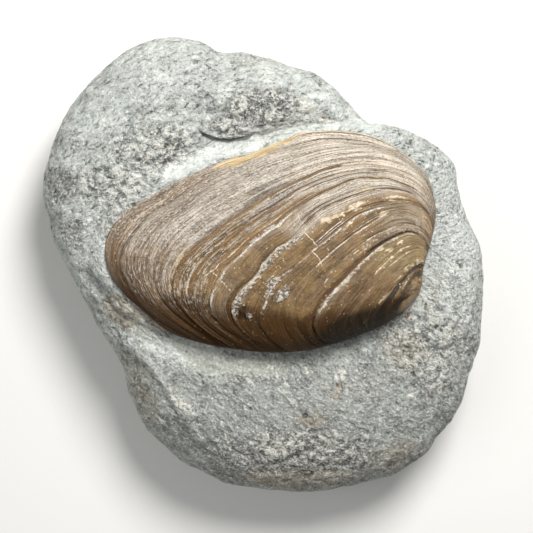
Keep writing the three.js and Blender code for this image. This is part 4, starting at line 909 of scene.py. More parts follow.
def stone_piece(material):
    around = 636
    # rays from the shell's middle: where they leave the shell and where they leave the rock
    dense = np.linspace(0, 2 * math.pi, 7201)[:-1]
    mx, my = MIDDLE

    def reach(x, y):
        a = np.mod(np.arctan2(y - my, x - mx), 2 * math.pi)
        o = np.argsort(a)
        a, r = a[o], np.hypot(x - mx, y - my)[o]
        return np.interp(dense, np.concatenate([[a[-1] - 2 * math.pi], a, [a[0] + 2 * math.pi]]), np.concatenate([[r[-1]], r, [r[0]]]))

    R = outline_radius(dense)
    outer = reach(R * np.cos(dense), R * np.sin(dense))
    inner = reach(TREE_POINTS[:, 0], TREE_POINTS[:, 1]) - 0.10

    def arc(r):
        x, y = r * np.cos(dense), r * np.sin(dense)
        return np.hypot(np.roll(x, -1) - x, np.roll(y, -1) - y)

    step = 0.62 * arc(outer) / arc(outer).sum() + 0.38 * arc(inner) / arc(inner).sum()
    total = np.concatenate([[0], np.cumsum(step)])
    phi = np.interp(np.arange(around) / around * total[-1], total, np.append(dense, 2 * math.pi))
    r_in, r_out = np.interp(phi, dense, inner, period=2 * math.pi), np.interp(phi, dense, outer, period=2 * math.pi)
    e = np.minimum(6.0, 0.55 * (r_out - r_in))
    NA, NB = 82, 26
    radii = [r_in + (r_out - e - r_in) * (k / NA) for k in range(NA + 1)]
    radii += [r_out - e * (1 - math.sin(math.pi / 2 * k / NB)) for k in range(1, NB + 1)]
    r = np.array(radii)
    X, Y = mx + r * np.cos(phi), my + r * np.sin(phi)
    theta = np.arctan2(Y, X)
    share = np.minimum(1, np.hypot(X, Y) / outline_radius(theta))
    share[-1] = 1
    D = margin_distance(X, Y)
    Z = top_height(theta, share, X, Y, D)
    Z[0] = seat(X[0])
    top = np.stack([X, Y, Z], -1)
    th = theta[-1]
    low = []
    NC = 22
    for k in range(1, NC + 1):
        q = math.cos(math.pi / 2 * k / NC) ** 1.05 if k < NC else 0.0
        rr, zz = side_point(th, np.full_like(th, q))
        low.append(np.stack([rr * np.cos(th), rr * np.sin(th), zz], -1))
    base = low[-1]
    under = []
    for k in range(1, 12):
        f = 1 - k / 12
        under.append(base * np.array([f, f, 1.0]))
    G = np.concatenate([top, np.array(low), np.array(under)])
    rows = len(G)
    n = grid_normals(G, True)
    # outwards: up on the face
    if n[NA // 2, :, 2].mean() < 0:
        n = -n
    q = G.reshape(-1, 3)
    nn = n.reshape(-1, 3)
    row = np.repeat(np.arange(rows), around)
    d_margin = np.concatenate([D.reshape(-1), np.full((rows - len(top)) * around, 20.0)])
    px, py = to_px(q)
    face = 1 - smooth(len(top) - 14, len(top) + 2, row)  # 1 on the upper face, 0 round the side
    upper = 1 - smooth(200, 320, py)

    # what the rock is like from place to place
    hollow = stroke(px, py, [(170, 173), (190, 163), (215, 150), (240, 143), (256, 140)], 17) * face
    lip = np.array(LIP, float)
    line_y = np.interp(px, lip[:, 0], lip[:, 1])
    lateral = smooth(196, 206, px) * (1 - smooth(247, 256, px))
    above = line_y - py + 1.5 * noise(q / 1.5, 21)
    overhang = smooth(-1.5, 0.5, above) * smooth(190, 200, px) * (1 - smooth(252, 262, px))
    hollow *= 1 - overhang
    hollow = np.maximum(hollow, 0.8 * stroke(px, py, [(250, 139), (300, 129), (360, 124), (378, 127)], 9) * face)
    hollow_white = stroke(px, py, [(170, 170), (190, 160), (215, 150), (240, 146), (256, 142)], 17) * face
    hollow_white = np.maximum(hollow_white, 0.62 * stroke(px, py, [(100, 222), (118, 205), (150, 182), (178, 166)], 19) * face)
    hollow_white = np.maximum(hollow_white, 0.42 * patch(px, py, 140, 165, 50, 20, 22) * face)
    hollow_white *= 1 - overhang
    green = np.maximum(patch(px, py, 200, 357, 42, 15, -24), patch(px, py, 255, 366, 40, 10, -4)) * face
    green = np.maximum(green, 0.8 * patch(px, py, 150, 338, 26, 9, -40) * face)
    dark_rough = np.maximum(patch(px, py, 262, 106, 44, 19, 4), 0.8 * patch(px, py, 230, 126, 26, 11, -5)) * face
    smooth_top = np.maximum(patch(px, py, 150, 62, 70, 34, 32), patch(px, py, 100, 110, 45, 30, 50)) * face
    smooth_top = np.maximum(smooth_top, patch(px, py, 275, 74, 50, 14, -14) * face)
    smooth_top = np.maximum(smooth_top, 0.9 * patch(px, py, 335, 100, 34, 13, -30) * face)
    right_strip = np.maximum(patch(px, py, 456, 240, 22, 95, 4), patch(px, py, 415, 150, 55, 18, -32)) * face
    rough_low = np.maximum(patch(px, py, 432, 345, 45, 50, 0), 0.9 * patch(px, py, 310, 455, 75, 24, 0)) * face
    bumpy_left = np.maximum(patch(px, py, 150, 150, 55, 26, 18), patch(px, py, 110, 185, 38, 24, 0)) * face
    ridge = stroke(px, py, [(126, 338), (140, 352), (160, 370), (172, 390), (182, 408), (186, 418)], 11) * face
    ridge_fine = stroke(px, py, [(128, 341), (142, 354), (158, 369), (170, 388), (180, 406)], 6) * face
    left_low = 0.7 * patch(px, py, 130, 400, 34, 62, 12) * face

    rough = 1.0 - 0.72 * hollow - 0.60 * green - 0.42 * smooth_top - 0.25 * right_strip + 0.6 * dark_rough + 0.45 * rough_low + 0.30 * bumpy_left
    rough = np.clip(rough, 0.18, 1.7)
    h = 0.42 * noise(q / 8.5, 1) * smooth(.5, 4, d_margin)
    h += 0.36 * rough * fbm(q / 3.4, 2, .5, 2) * smooth(.2, 2, d_margin)
    g1 = ridged(turned(q, 26, 2.1) / 1.25, 3) + 0.6 * ridged(turned(q, 18, 2.0) / 0.78, 4)
    g2 = ridged(turned(q, -38, 2.1) / 1.25, 5) + 0.6 * ridged(turned(q, -45, 2.0) / 0.78, 6)
    grain = g2 + (g1 - g2) * upper
    h += 0.235 * rough * grain * (0.65 + 0.5 * noise(q / 5, 7))
    f1, f2, val = cells(q / 2.6, 8)
    h += 0.34 * rough * (val - 0.5) * smooth(0.0, 0.22, f2 - f1) * smooth(.5, 2.5, d_margin)
    f1, f2, chip = cells(turned(q, 20, 1.4) / 1.15, 30)
    h += 0.20 * np.clip(rough - .35, 0, 1.2) * (chip - 0.5) * smooth(0.0, 0.25, f2 - f1) * smooth(.5, 2.5, d_margin)
    f1b, f2b, valb = cells(q / 0.85 + 9.3, 9)
    pit_field = smooth(.88, .98, valb) * (1 - smooth(.12, .5, f1b)) * (0.5 + 0.9 * smooth(-.1, .3, noise(q / 7, 10)))
    h -= 0.14 * pit_field * np.clip(rough, .4, 1.2)
    # the lip above the hollow and the shadowed undercut below it
    h += face * lateral * 0.95 * smooth(-0.8, 1.0, above) * np.exp(-np.maximum(above, 0) / 13)
    h -= face * lateral * 0.55 * (1 - smooth(-0.9, 0.3, above)) * (1 - smooth(0.5, 5.0, -above))
    # a painted shadow cast below the lip onto the hollow, drawn dark with the pits
    lip_shadow = face * lateral * (1 - smooth(-0.2, 1.0, above)) * (1 - smooth(0.4, 2.2 + 1.6 * smooth(205, 222, px) * (1 - smooth(236, 246, px)), -above))
    crack = stroke(px, py, [(146, 114), (152, 111), (158, 113), (166, 110), (174, 107)], 1.9) * face
    crack = np.maximum(crack, 0.6 * stroke(px, py, [(160, 149), (168, 146), (175, 142), (183, 140), (192, 136)], 2.6) * face)
    crack = np.maximum(crack, 0.6 * stroke(px, py, [(101, 82), (108, 78), (116, 76)], 2.2) * face)
    crack = np.maximum(crack, 0.7 * stroke(px, py, [(430, 325), (437, 328), (441, 332)], 2.8) * face)
    crack = np.maximum(crack, 0.7 * stroke(px, py, [(250, 372), (254, 377), (258, 385)], 2.0) * face)
    crack = crack * smooth(-.35, .15, noise(q / 1.3, 28) + .12)
    h -= 0.34 * crack
    h += 0.5 * ridge + 0.12 * ridge_fine * (1 + noise(q / 1.2, 22))
    h -= 0.25 * patch(px, py, 132, 385, 22, 46, 14) * face
    pits = np.zeros(len(q))
    for k, (cx, cy, pr, depth) in enumerate(PITS):
        scale = FOCAL_PX / (EYE_Z - 22)
        dd = np.hypot(px - cx, (py - cy) * (1.0 + 0.25 * math.sin(k))) / scale / pr
        w = face * (1 - smooth(0.35, 1.1, dd + 0.18 * noise(q / 0.6, 23)))
        h -= depth * w
        pits = np.maximum(pits, w)
    # a chipped crumb on the rim of the right corner, and the small knobs of the lower right
    for cx, cy, a, b, turn, up in ((444, 338, 13, 9, 35, .55), (462, 322, 9, 6, 30, .4), (416, 400, 16, 7, 25, .35), (343, 378, 4, 8, 0, .45), (307, 455, 5, 8, 0, -.35), (395, 455, 12, 7, 20, .3), (425, 345, 14, 8, 30, .3), (320, 435, 13, 9, 0, -.35), (283, 393, 5, 4, 0, .35), (130, 305, 14, 8, 30, .4), (77, 236, 14, 12, 0, -.4), (58, 185, 12, 14, 0, -.35), (206, 90, 30, 9, 0, .35), (265, 130, 8, 4, 10, .3)):
        h += up * patch(px, py, cx, cy, a, b, turn) * face
    # stay quiet where the rock meets the shell, at the widest outline and on the resting face
    h *= 0.25 + 0.75 * smooth(0.0, 1.6, d_margin)
    bottom = smooth(0.0, 2.2, q[:, 2])
    is_under = row >= len(top) + NC - 1
    h = np.where(is_under, -0.55 * np.clip(0.25 + fbm(q / 6.0, 3, .55, 24) + 0.15 * grain, 0, 1), h * bottom)
    limit = 1 - 0.55 * (1 - smooth(0, 12, np.abs(row - (len(top) - 1))))
    h = np.where(is_under, h, np.clip(h, -1.3, 1.3) * limit)
    P = q + nn * np.where(is_under, 0, h)[:, None]
    P[:, 2] = np.where(is_under, -h * smooth(.0, .12, 1 - (np.hypot(q[:, 0], q[:, 1]) / np.maximum(np.tile(np.hypot(base[:, 0], base[:, 1]), rows), 1e-6))), P[:, 2])
    P[:, 2] = np.maximum(P[:, 2], 0)
    # the outline of the plan view stays where the rock's own outline is
    radius = np.hypot(P[:, 0], P[:, 1])
    most = outline_radius(np.arctan2(P[:, 1], P[:, 0])) + 0.22
    P[:, :2] *= np.minimum(1, most / np.maximum(radius, 1e-6))[:, None]

    # masks for the material
    cream = np.zeros(len(q))
    for cx, cy, a, b, turn, strength in CREAMS:
        cream = np.maximum(cream, strength * patch(px, py, cx, cy, a, b, turn))
    cream *= face * smooth(-.35, .25, noise(q / 0.55, 25) + .1)
    stain = np.maximum(patch(px, py, 122, 312, 26, 15, -40), 0.8 * patch(px, py, 150, 318, 26, 8, -40)) * face
    stain = np.maximum(stain, 0.75 * left_low)
    blur = smooth(-.35, .25, noise(q / 1.1, 29) + .05)
    stain = np.maximum(stain, blur * patch(px, py, 333, 388, 12, 13, 0) * face)
    stain = np.maximum(stain, 0.85 * blur * patch(px, py, 310, 421, 19, 11, 5) * face)
    stain = np.maximum(stain, 0.6 * patch(px, py, 300, 478, 80, 12, 0) * face)
    stain = np.maximum(stain, 0.5 * patch(px, py, 395, 455, 40, 18, 20) * face)
    stain = np.maximum(stain, 0.55 * patch(px, py, 405, 350, 30, 25, 0) * face)
    stain = np.maximum(stain, 0.5 * (1 - face) * smooth(-.3, .5, noise(q / 11, 26)))
    grey = np.maximum(0.9 * dark_rough, 0.7 * patch(px, py, 60, 185, 20, 24, 0) * face)
    grey = np.maximum(grey, 0.7 * patch(px, py, 76, 234, 20, 18, 0) * face)
    grey = np.maximum(grey, patch(px, py, 75.5, 147, 4.5, 8, -10) * face)
    grey = np.maximum(grey, 0.5 * patch(px, py, 110, 190, 30, 14, 0) * face)
    grey = np.maximum(grey, 0.6 * patch(px, py, 390, 332, 26, 12, 30) * face)
    grey = np.maximum(grey, 0.90 * patch(px, py, 290, 455, 90, 28, 0) * face)
    grey = np.maximum(grey, 0.45 * patch(px, py, 260, 372, 100, 20, -5) * face)
    pale = np.clip(np.maximum(np.maximum(0.55 * hollow_white, 0.9 * ridge_fine * smooth(-.4, .3, noise(q / 1.0, 27) + .15)), 0.9 * patch(px, py, 457, 240, 24, 100, 4) * face), 0, 1)
    pale = np.maximum(pale, 0.85 * patch(px, py, 96, 240, 17, 42, 10) * face)
    pale = np.maximum(pale, 0.8 * patch(px, py, 458, 290, 20, 42, 0) * face)
    pale = np.maximum(pale, 0.55 * patch(px, py, 165, 352, 30, 14, -35) * face)
    pale = np.maximum(pale, 0.45 * patch(px, py, 335, 100, 36, 14, -30) * face)
    pale = np.maximum(pale, 0.5 * patch(px, py, 180, 80, 60, 22, 20) * face)
    # how far down the face a point lies, for the painted shade of the lower part
    lower = smooth(230, 430, py) * (0.4 + 0.6 * face)
    crumb = np.maximum(bumpy_left, 0.8 * rough_low)
    crumb = np.maximum(crumb, 0.9 * dark_rough)
    crumb = np.maximum(crumb, 0.6 * patch(px, py, 455, 300, 26, 34, 0) * face)
    crumb = np.maximum(crumb, 0.7 * stroke(px, py, [(105, 225), (125, 200), (160, 172), (190, 150)], 12) * face)
    # height of the fine relief, which the material turns into painted shade in low places and painted light on high
    # ones
    low_h = np.clip(0.5 + 1.5 * (0.10 * rough * grain + 0.24 * rough * (val - 0.5) - 0.26 * pit_field + 0.15 * noise(q / 3.4, 2)), 0, 1)
    attributes = {
        "m_pale": pale, "m_cream": cream, "m_stain": stain, "m_grey": grey, "m_green": green, "m_lower": lower + face * (0.30 * patch(px, py, 300, 455, 115, 32, 0) - 0.35 * patch(px, py, 122, 365, 26, 42, 25)),
        # painted shade in the pits and cracks and the painted shadow below the lip, as one mask
        "m_pit_shade": np.clip(np.maximum(np.maximum(pits, crack), np.maximum(lip_shadow, 0.22 * pit_field)), 0, 1),
        "m_smooth": np.clip(hollow + green + 0.4 * smooth_top, 0, 1), "relief": low_h,
        "m_upper": upper, "m_crumb": crumb, "m_orange": patch(px, py, 407, 316, 3, 3, 0) * face,
    }
    # the socket wall and floor
    ring0 = P.reshape(rows, around, 3)[0]
    pocket = []
    for grow, z_of in ((0.25, lambda v: seat(v) - 0.7), (0.30, lambda v: seat(v) - 1.4)):
        rr = r_in + 0.10 + grow
        pocket.append(np.stack([mx + rr * np.cos(phi), my + rr * np.sin(phi), z_of(ring0[:, 0])], -1))
    for f, z in ((0.96, SEAT_Z - 2.5), (0.82, SEAT_Z - 3.1), (0.45, SEAT_Z - 3.1)):
        rr = (r_in + 0.4) * f
        pocket.append(np.stack([mx + rr * np.cos(phi), my + rr * np.sin(phi), np.full(around, z)], -1))
    points = np.vstack([P] + pocket + [np.array([[mx, my, SEAT_Z - 3.1], [0, 0, 0.25]])])
    quads = [grid_quads(rows, around, True)]
    k = np.arange(around)
    k1 = (k + 1) % around
    rings = [k] + [rows * around + j * around + k for j in range(len(pocket))]
    for a, b in zip(rings[:-1], rings[1:]):
        quads.append(np.stack([a[k], a[k1], b[k1], b[k]], -1))
    c0, c1 = len(points) - 2, len(points) - 1
    last = rings[-1]
    under_ring = (rows - 1) * around + k
    tris = [np.stack([last[k], last[k1], np.full(around, c0)], -1), np.stack([under_ring[k1], under_ring[k], np.full(around, c1)], -1)]
    first = np.concatenate([np.tile(k, len(pocket)), [0, 0]])
    attributes = {key: np.concatenate([v, np.asarray(v)[first]]) for key, v in attributes.items()}
    return orient("stone", points, np.vstack(quads), np.vstack(tris), attributes, material)


# ---------------------------------------------------------------- materials
class Tree:
    def __init__(self, name):
        self.material = bpy.data.materials.new(name)
        self.material.use_nodes = True
        self.tree = self.material.node_tree
        self.tree.nodes.clear()

    def node(self, kind, inputs=None, **props):
        n = self.tree.nodes.new(kind)
        for key, value in props.items():
            setattr(n, key, value)
        for key, value in (inputs or {}).items():
            socket = n.inputs[key]
            if isinstance(value, bpy.types.NodeSocket):
                self.tree.links.new(value, socket)
            else:
                socket.default_value = value
        return n

    def attr(self, name):
        return self.node("ShaderNodeAttribute", attribute_name=name).outputs["Fac"]

    def math(self, op, a, b=0.0, c=0.0, clamp=False):
        n = self.node("ShaderNodeMath", {0: a, 1: b, 2: c}, operation=op)
        n.use_clamp = clamp
        return n.outputs[0]

    def mix(self, factor, a, b, blend="MIX"):
        n = self.node("ShaderNodeMix", {0: factor, 6: a, 7: b}, data_type="RGBA", blend_type=blend)
        return n.outputs[2]

    def ramp(self, factor, stops, kind="LINEAR"):
        n = self.node("ShaderNodeValToRGB", {0: factor})
        e = n.color_ramp.elements
        n.color_ramp.interpolation = kind
        while len(e) < len(stops):
            e.new(0.5)
        for k, (at, value) in enumerate(stops):
            e[k].position = at
            e[k].color = value if len(value) == 4 else (*value, 1)
        return n.outputs[0]

    def step(self, value, a, b, low=0.0, high=1.0):
        return self.node("ShaderNodeMapRange", {0: value, 1: a, 2: b, 3: low, 4: high}, interpolation_type="SMOOTHSTEP").outputs[0]

    def noise(self, vector, scale, detail=3.0, rough=0.55, distort=0.0):
        return self.node("ShaderNodeTexNoise", {"Vector": vector, "Scale": scale, "Detail": detail, "Roughness": rough, "Distortion": distort}).outputs["Fac"]

    def voronoi(self, vector, scale, feature="F1"):
        return self.node("ShaderNodeTexVoronoi", {"Vector": vector, "Scale": scale}, feature=feature).outputs["Distance"]

    def xyz(self, x, y, z=0.0):
        return self.node("ShaderNodeCombineXYZ", {0: x, 1: y, 2: z}).outputs[0]

    def torn(self, mask, grain, amount=0.6):
        """A mask whose edge is broken up by a grain value about 0.5."""
        g = self.math("MULTIPLY", self.math("SUBTRACT", grain, 0.5), amount)
        return self.step(self.math("ADD", mask, g), 0.25, 0.75)


def srgb(r, g, b):
    def lin(c):
        c /= 255
        return c / 12.92 if c <= 0.04045 else ((c + 0.055) / 1.055) ** 2.4
    return (lin(r), lin(g), lin(b), 1.0)


def under(px, py):
    """The point of the model seen at a place of the plan view, in mm."""
    z = 22.0
    for _ in range(6):
        x = (px - 266.5) / FOCAL_PX * (EYE_Z - z) + EYE_X
        y = -(py - 266.5) / FOCAL_PX * (EYE_Z - z) + EYE_Y
        inside = margin_distance(np.array([x]), np.array([y]))[0] < -0.2
        z = float(dome(np.array([x]), np.array([y]))[0]) if inside else 22.0
    return x, y, z


def flecks(m, obj, marks, stray=0.0004):
    """Thin strokes: (start, end, half-width in mm), each a slim ellipsoid of object space."""
    total = None
    drift = m.node("ShaderNodeTexNoise", {"Vector": obj, "Scale": 1300.0, "Detail": 2.0}).outputs["Color"]
    drift = m.node("ShaderNodeVectorMath", {0: drift, 1: (0.5, 0.5, 0.5)}, operation="SUBTRACT").outputs[0]
    drift = m.node("ShaderNodeVectorMath", {0: drift, 1: (stray, stray, 0.0)}, operation="MULTIPLY").outputs[0]
    obj = m.node("ShaderNodeVectorMath", {0: obj, 1: drift}, operation="ADD").outputs[0]
    for (ax, ay), (bx, by), half in marks:
        a, b = under(ax, ay), under(bx, by)
        long = 0.5 * math.hypot(b[0] - a[0], b[1] - a[1]) * 1.15 + half
        place = m.node("ShaderNodeMapping", {"Vector": obj, "Location": (0.0005 * (a[0] + b[0]) + SHIFT_X * 0.001, 0.0005 * (a[1] + b[1]), 0.0005 * (a[2] + b[2])), "Rotation": (0.0, 0.0, math.atan2(b[1] - a[1], b[0] - a[0])), "Scale": (long * 0.001, half * 0.001, 0.004)}, vector_type="TEXTURE").outputs[0]
        size = m.node("ShaderNodeVectorMath", {0: place}, operation="LENGTH").outputs["Value"]
        one = m.step(size, 1.15, 0.55)
        total = one if total is None else m.math("MAXIMUM", total, one)
    return total


def shell_material():
    m = Tree("fossil_shell")
    obj = m.node("ShaderNodeTexCoord").outputs["Object"]
    s, t = m.attr("grow_s"), m.attr("grow_t")
    wander = m.noise(obj, 260, 2)
    s2 = m.math("ADD", s, m.math("MULTIPLY", m.math("SUBTRACT", wander, 0.5), 0.006))
    lines = m.noise(m.xyz(m.math("MULTIPLY", s2, 100), m.math("MULTIPLY", t, 6)), 1.0, 3.0, 0.6)
    hair = m.noise(m.xyz(m.math("MULTIPLY", s2, 215), m.math("MULTIPLY", t, 11)), 1.0, 2.0, 0.6)
    broad = m.noise(m.xyz(m.math("MULTIPLY", s2, 38), m.math("MULTIPLY", t, 5)), 1.0, 2.0, 0.5)
    # long thin growth lines: where a stretched noise crosses its middle value
    thin = m.noise(m.xyz(m.math("MULTIPLY", s2, 62), m.math("MULTIPLY", t, 3.2), 3.7), 1.0, 1.0, 0.5)
    thin = m.step(m.math("ABSOLUTE", m.math("SUBTRACT", thin, 0.5)), .040, .008)
    bright = m.noise(m.xyz(m.math("MULTIPLY", s2, 50), m.math("MULTIPLY", t, 3.6), 9.1), 1.0, 1.0, 0.5)
    bright = m.step(m.math("ABSOLUTE", m.math("SUBTRACT", bright, 0.5)), .034, .008)
    blotch = m.noise(obj, 330, 3, 0.6)
    speck = m.noise(obj, 1900, 3, 0.65)
    streak = m.noise(m.xyz(m.math("MULTIPLY", s2, 190), m.math("MULTIPLY", t, 62)), 1.0, 4.0, 0.65, 0.4)
    grit = m.noise(obj, 4200, 3, 0.7)
    relief = m.attr("relief")
    coarse = m.attr("coarse")

    # ground colour of each zone
    colour = m.mix(m.step(blotch, .36, .64), srgb(118, 90, 48), srgb(84, 59, 26))
    colour = m.mix(m.step(m.noise(obj, 760, 3, .6), .52, .66, 0, .45), colour, srgb(132, 106, 68))
    colour = m.mix(m.step(speck, .56, .68, 0, .40), colour, srgb(150, 124, 84))
    colour = m.mix(m.attr("z_tongue"), colour, m.mix(m.step(blotch, .35, .65), srgb(130, 110, 72), srgb(104, 84, 50)))
    # the lower side of the tongue: dark brown shell, partly painted shade where it turns from the light
    colour = m.mix(m.attr("z_deep"), colour, m.mix(m.step(blotch, .35, .65), srgb(98, 69, 28), srgb(74, 50, 16)))
    colour = m.mix(m.attr("z_right"), colour, m.mix(m.step(blotch, .35, .65), srgb(146, 127, 104), srgb(126, 108, 84)))
    # pale upper zone: weathered skin with painted sheen, and painted light brightest towards the beak end
    colour = m.mix(m.attr("z_pink"), colour, m.mix(m.step(blotch, .35, .65), srgb(228, 217, 203), srgb(190, 176, 158)))
    colour = m.mix(m.math("MULTIPLY", m.attr("z_pink"), m.step(t, .46, .30, 0, .40)), colour, srgb(246, 232, 210))
    colour = m.mix(m.attr("z_left"), colour, m.mix(m.step(blotch, .35, .65), srgb(140, 116, 90), srgb(120, 97, 74)))
    colour = m.mix(m.attr("z_edge"), colour, m.mix(m.step(broad, .4, .6), srgb(164, 140, 112), srgb(122, 98, 70)))
    # painted shade with the shell's dark brown on the lower flank, darkest along the lower margin
    colour = m.mix(m.torn(m.attr("z_low"), broad, .7), colour, srgb(72, 49, 24))
    colour = m.mix(m.attr("z_black_shade"), colour, srgb(42, 33, 21))
    colour = m.mix(m.math("MULTIPLY", m.attr("z_tip"), .8), colour, m.mix(m.step(blotch, .35, .65), srgb(176, 144, 104), srgb(150, 122, 86)))
    # growth striping: pale and brown lines following the growth direction
    dark_lines = m.step(lines, .555, .62)
    pale_lines = m.step(lines, .445, .38)
    keep = m.math("SUBTRACT", 1.0, m.math("MULTIPLY", m.attr("z_black_shade"), 0.7))
    bare = m.math("SUBTRACT", 1.0, m.math("MULTIPLY", m.attr("z_low"), 0.8))
    # the pale zone below is weathered skin and partly painted sheen
    worn = m.attr("z_pink")
    lively = m.math("MAXIMUM", m.math("MAXIMUM", worn, m.attr("z_left")), m.math("MAXIMUM", m.math("MULTIPLY", m.math("MULTIPLY", m.attr("z_low"), m.step(s, .42, .60)), .85), m.math("MULTIPLY", m.attr("z_right"), .55)))
    skin = m.math("SUBTRACT", .62, m.math("MULTIPLY", coarse, .34))
    calm = m.math("ADD", .17, m.math("MULTIPLY", lively, .83))
    colour = m.mix(m.math("MULTIPLY", m.math("MULTIPLY", m.math("MULTIPLY", dark_lines, 0.70), calm), keep), colour, m.mix(0.75, colour, srgb(66, 45, 24), "MIX"))
    inner = m.math("ADD", .10, m.math("MULTIPLY", m.math("MAXIMUM", m.attr("z_pink"), coarse), .70))
    colour = m.mix(m.math("MULTIPLY", m.math("MULTIPLY", pale_lines, inner), bare), colour, m.mix(0.55, colour, srgb(226, 212, 194), "MIX"))
    colour = m.mix(m.math("MULTIPLY", m.math("MULTIPLY", m.step(broad, .52, .68), calm), 0.60), colour, m.mix(0.7, colour, srgb(104, 72, 36)))
    colour = m.mix(m.math("MULTIPLY", m.math("MULTIPLY", m.step(hair, .55, .64), 0.44), calm), colour, srgb(60, 43, 26))
    colour = m.mix(m.math("MULTIPLY", m.math("MULTIPLY", m.math("MULTIPLY", thin, calm), m.step(blotch, .38, .52, .35, 1.0)), skin), colour, m.mix(worn, srgb(52, 36, 18), srgb(104, 80, 54)))
    colour = m.mix(m.math("MULTIPLY", m.math("MULTIPLY", m.math("MULTIPLY", m.math("MULTIPLY", bright, calm), m.step(streak, .42, .56)), bare), skin), colour, m.mix(worn, srgb(190, 170, 138), srgb(232, 222, 206)))
    colour = m.mix(m.math("MULTIPLY", m.math("MULTIPLY", m.step(hair, .45, .35), m.math("MULTIPLY", inner, .50)), bare), colour, srgb(214, 200, 182))
    # rough weathered skin: light flecks and grey dust
    colour = m.mix(m.math("MULTIPLY", m.math("MULTIPLY", coarse, m.step(streak, .50, .64)), .70), colour, srgb(206, 198, 190))
    colour = m.mix(m.math("MULTIPLY", m.math("MULTIPLY", coarse, m.step(streak, .46, .33)), .60), colour, srgb(98, 82, 68))
    # the weathered outer part is netted with fine grey and white at right angles to the growth lines
    net = m.noise(m.xyz(m.math("MULTIPLY", s2, 210), m.math("MULTIPLY", t, 190)), 1.0, 4.0, 0.7, 0.6)
    colour = m.mix(m.math("MULTIPLY", m.math("MULTIPLY", worn, m.step(net, .52, .60)), .72), colour, srgb(236, 230, 219))
    colour = m.mix(m.math("MULTIPLY", m.math("MULTIPLY", worn, m.step(net, .47, .38)), .66), colour, srgb(112, 98, 84))
    # height: worn crests are paler, grooves hold brown and are darkened further as painted shade
    colour = m.mix(m.math("MULTIPLY", m.step(relief, .62, .95), m.math("MULTIPLY", bare, m.math("ADD", .12, m.math("MULTIPLY", m.attr("z_pink"), .24)))), colour, srgb(212, 198, 178))
    colour = m.mix(m.math("MULTIPLY", m.step(relief, .42, .12), .62), colour, srgb(54, 38, 24))
    # listed bands
    colour = m.mix(m.math("MULTIPLY", m.torn(m.attr("m_gold"), lines, .5), .85), colour, m.mix(m.step(hair, .35, .65), srgb(148, 114, 68), srgb(100, 72, 40)))
    colour = m.mix(m.math("MULTIPLY", m.torn(m.attr("m_honey"), lines, .6), .85), colour, m.mix(m.step(m.math("ADD", m.math("MULTIPLY", lines, .5), m.math("MULTIPLY", hair, .5)), .44, .56), srgb(248, 228, 180), srgb(212, 172, 108)))
    colour = m.mix(m.math("MULTIPLY", m.torn(m.attr("m_brown"), lines, .4), .85), colour, srgb(92, 62, 34))
    colour = m.mix(m.math("MULTIPLY", m.torn(m.attr("m_dark"), lines, .4), .92), colour, srgb(40, 31, 23))
    colour = m.mix(m.math("MULTIPLY", m.torn(m.attr("m_grey"), speck, .8), .9), colour, m.mix(m.step(speck, .47, .55), srgb(84, 78, 69), srgb(196, 189, 178)))
    colour = m.mix(m.math("MULTIPLY", m.torn(m.attr("m_cream"), speck, .9), .85), colour, m.mix(m.step(blotch, .4, .6), srgb(226, 211, 186), srgb(206, 182, 146)))
    colour = m.mix(m.math("MULTIPLY", m.torn(m.attr("m_pale"), speck, .8), .92), colour, m.mix(m.step(grit, .4, .62), srgb(162, 154, 144), srgb(220, 214, 204)))
    # the hole is painted near-black as shade inside it
    colour = m.mix(m.math("MULTIPLY", m.torn(m.attr("m_hole"), speck, .8), .9), colour, srgb(28, 22, 18))
    # the crack and the short dotted cracklet
    marks = [(a, b, .10) for a, b in zip(CRACK[:-1], CRACK[1:])] + [((x, y), (x + 1.0, y + 1.0), .11) for x, y in CRACKLET]
    line = m.math("MULTIPLY", flecks(m, obj, marks), m.step(speck, .36, .50, .25, 1.0))
    colour = m.mix(m.math("MULTIPLY", line, .80), colour, srgb(218, 208, 190))
    # small cream dots, thickest on the inner part of the shell
    dots = m.math("MULTIPLY", m.step(m.math("ADD", m.voronoi(obj, 1450), m.math("MULTIPLY", m.math("SUBTRACT", grit, .5), .30)), .23, .13), m.step(m.noise(obj, 420, 2), .48, .58))
    dots = m.math("MULTIPLY", dots, m.math("SUBTRACT", 1.0, m.math("MULTIPLY", m.attr("z_low"), .6)))
    colour = m.mix(m.math("MULTIPLY", dots, .62), colour, srgb(214, 198, 166))
    # fine mottling everywhere
    colour = m.mix(m.step(grit, .3, .7, 0.0, 1.0), m.mix(0.16, colour, srgb(20, 14, 9)), m.mix(m.math("SUBTRACT", 0.055, m.math("MULTIPLY", m.math("MAXIMUM", m.attr("z_low"), m.attr("z_black_shade")), 0.05)), colour, srgb(240, 228, 206)))

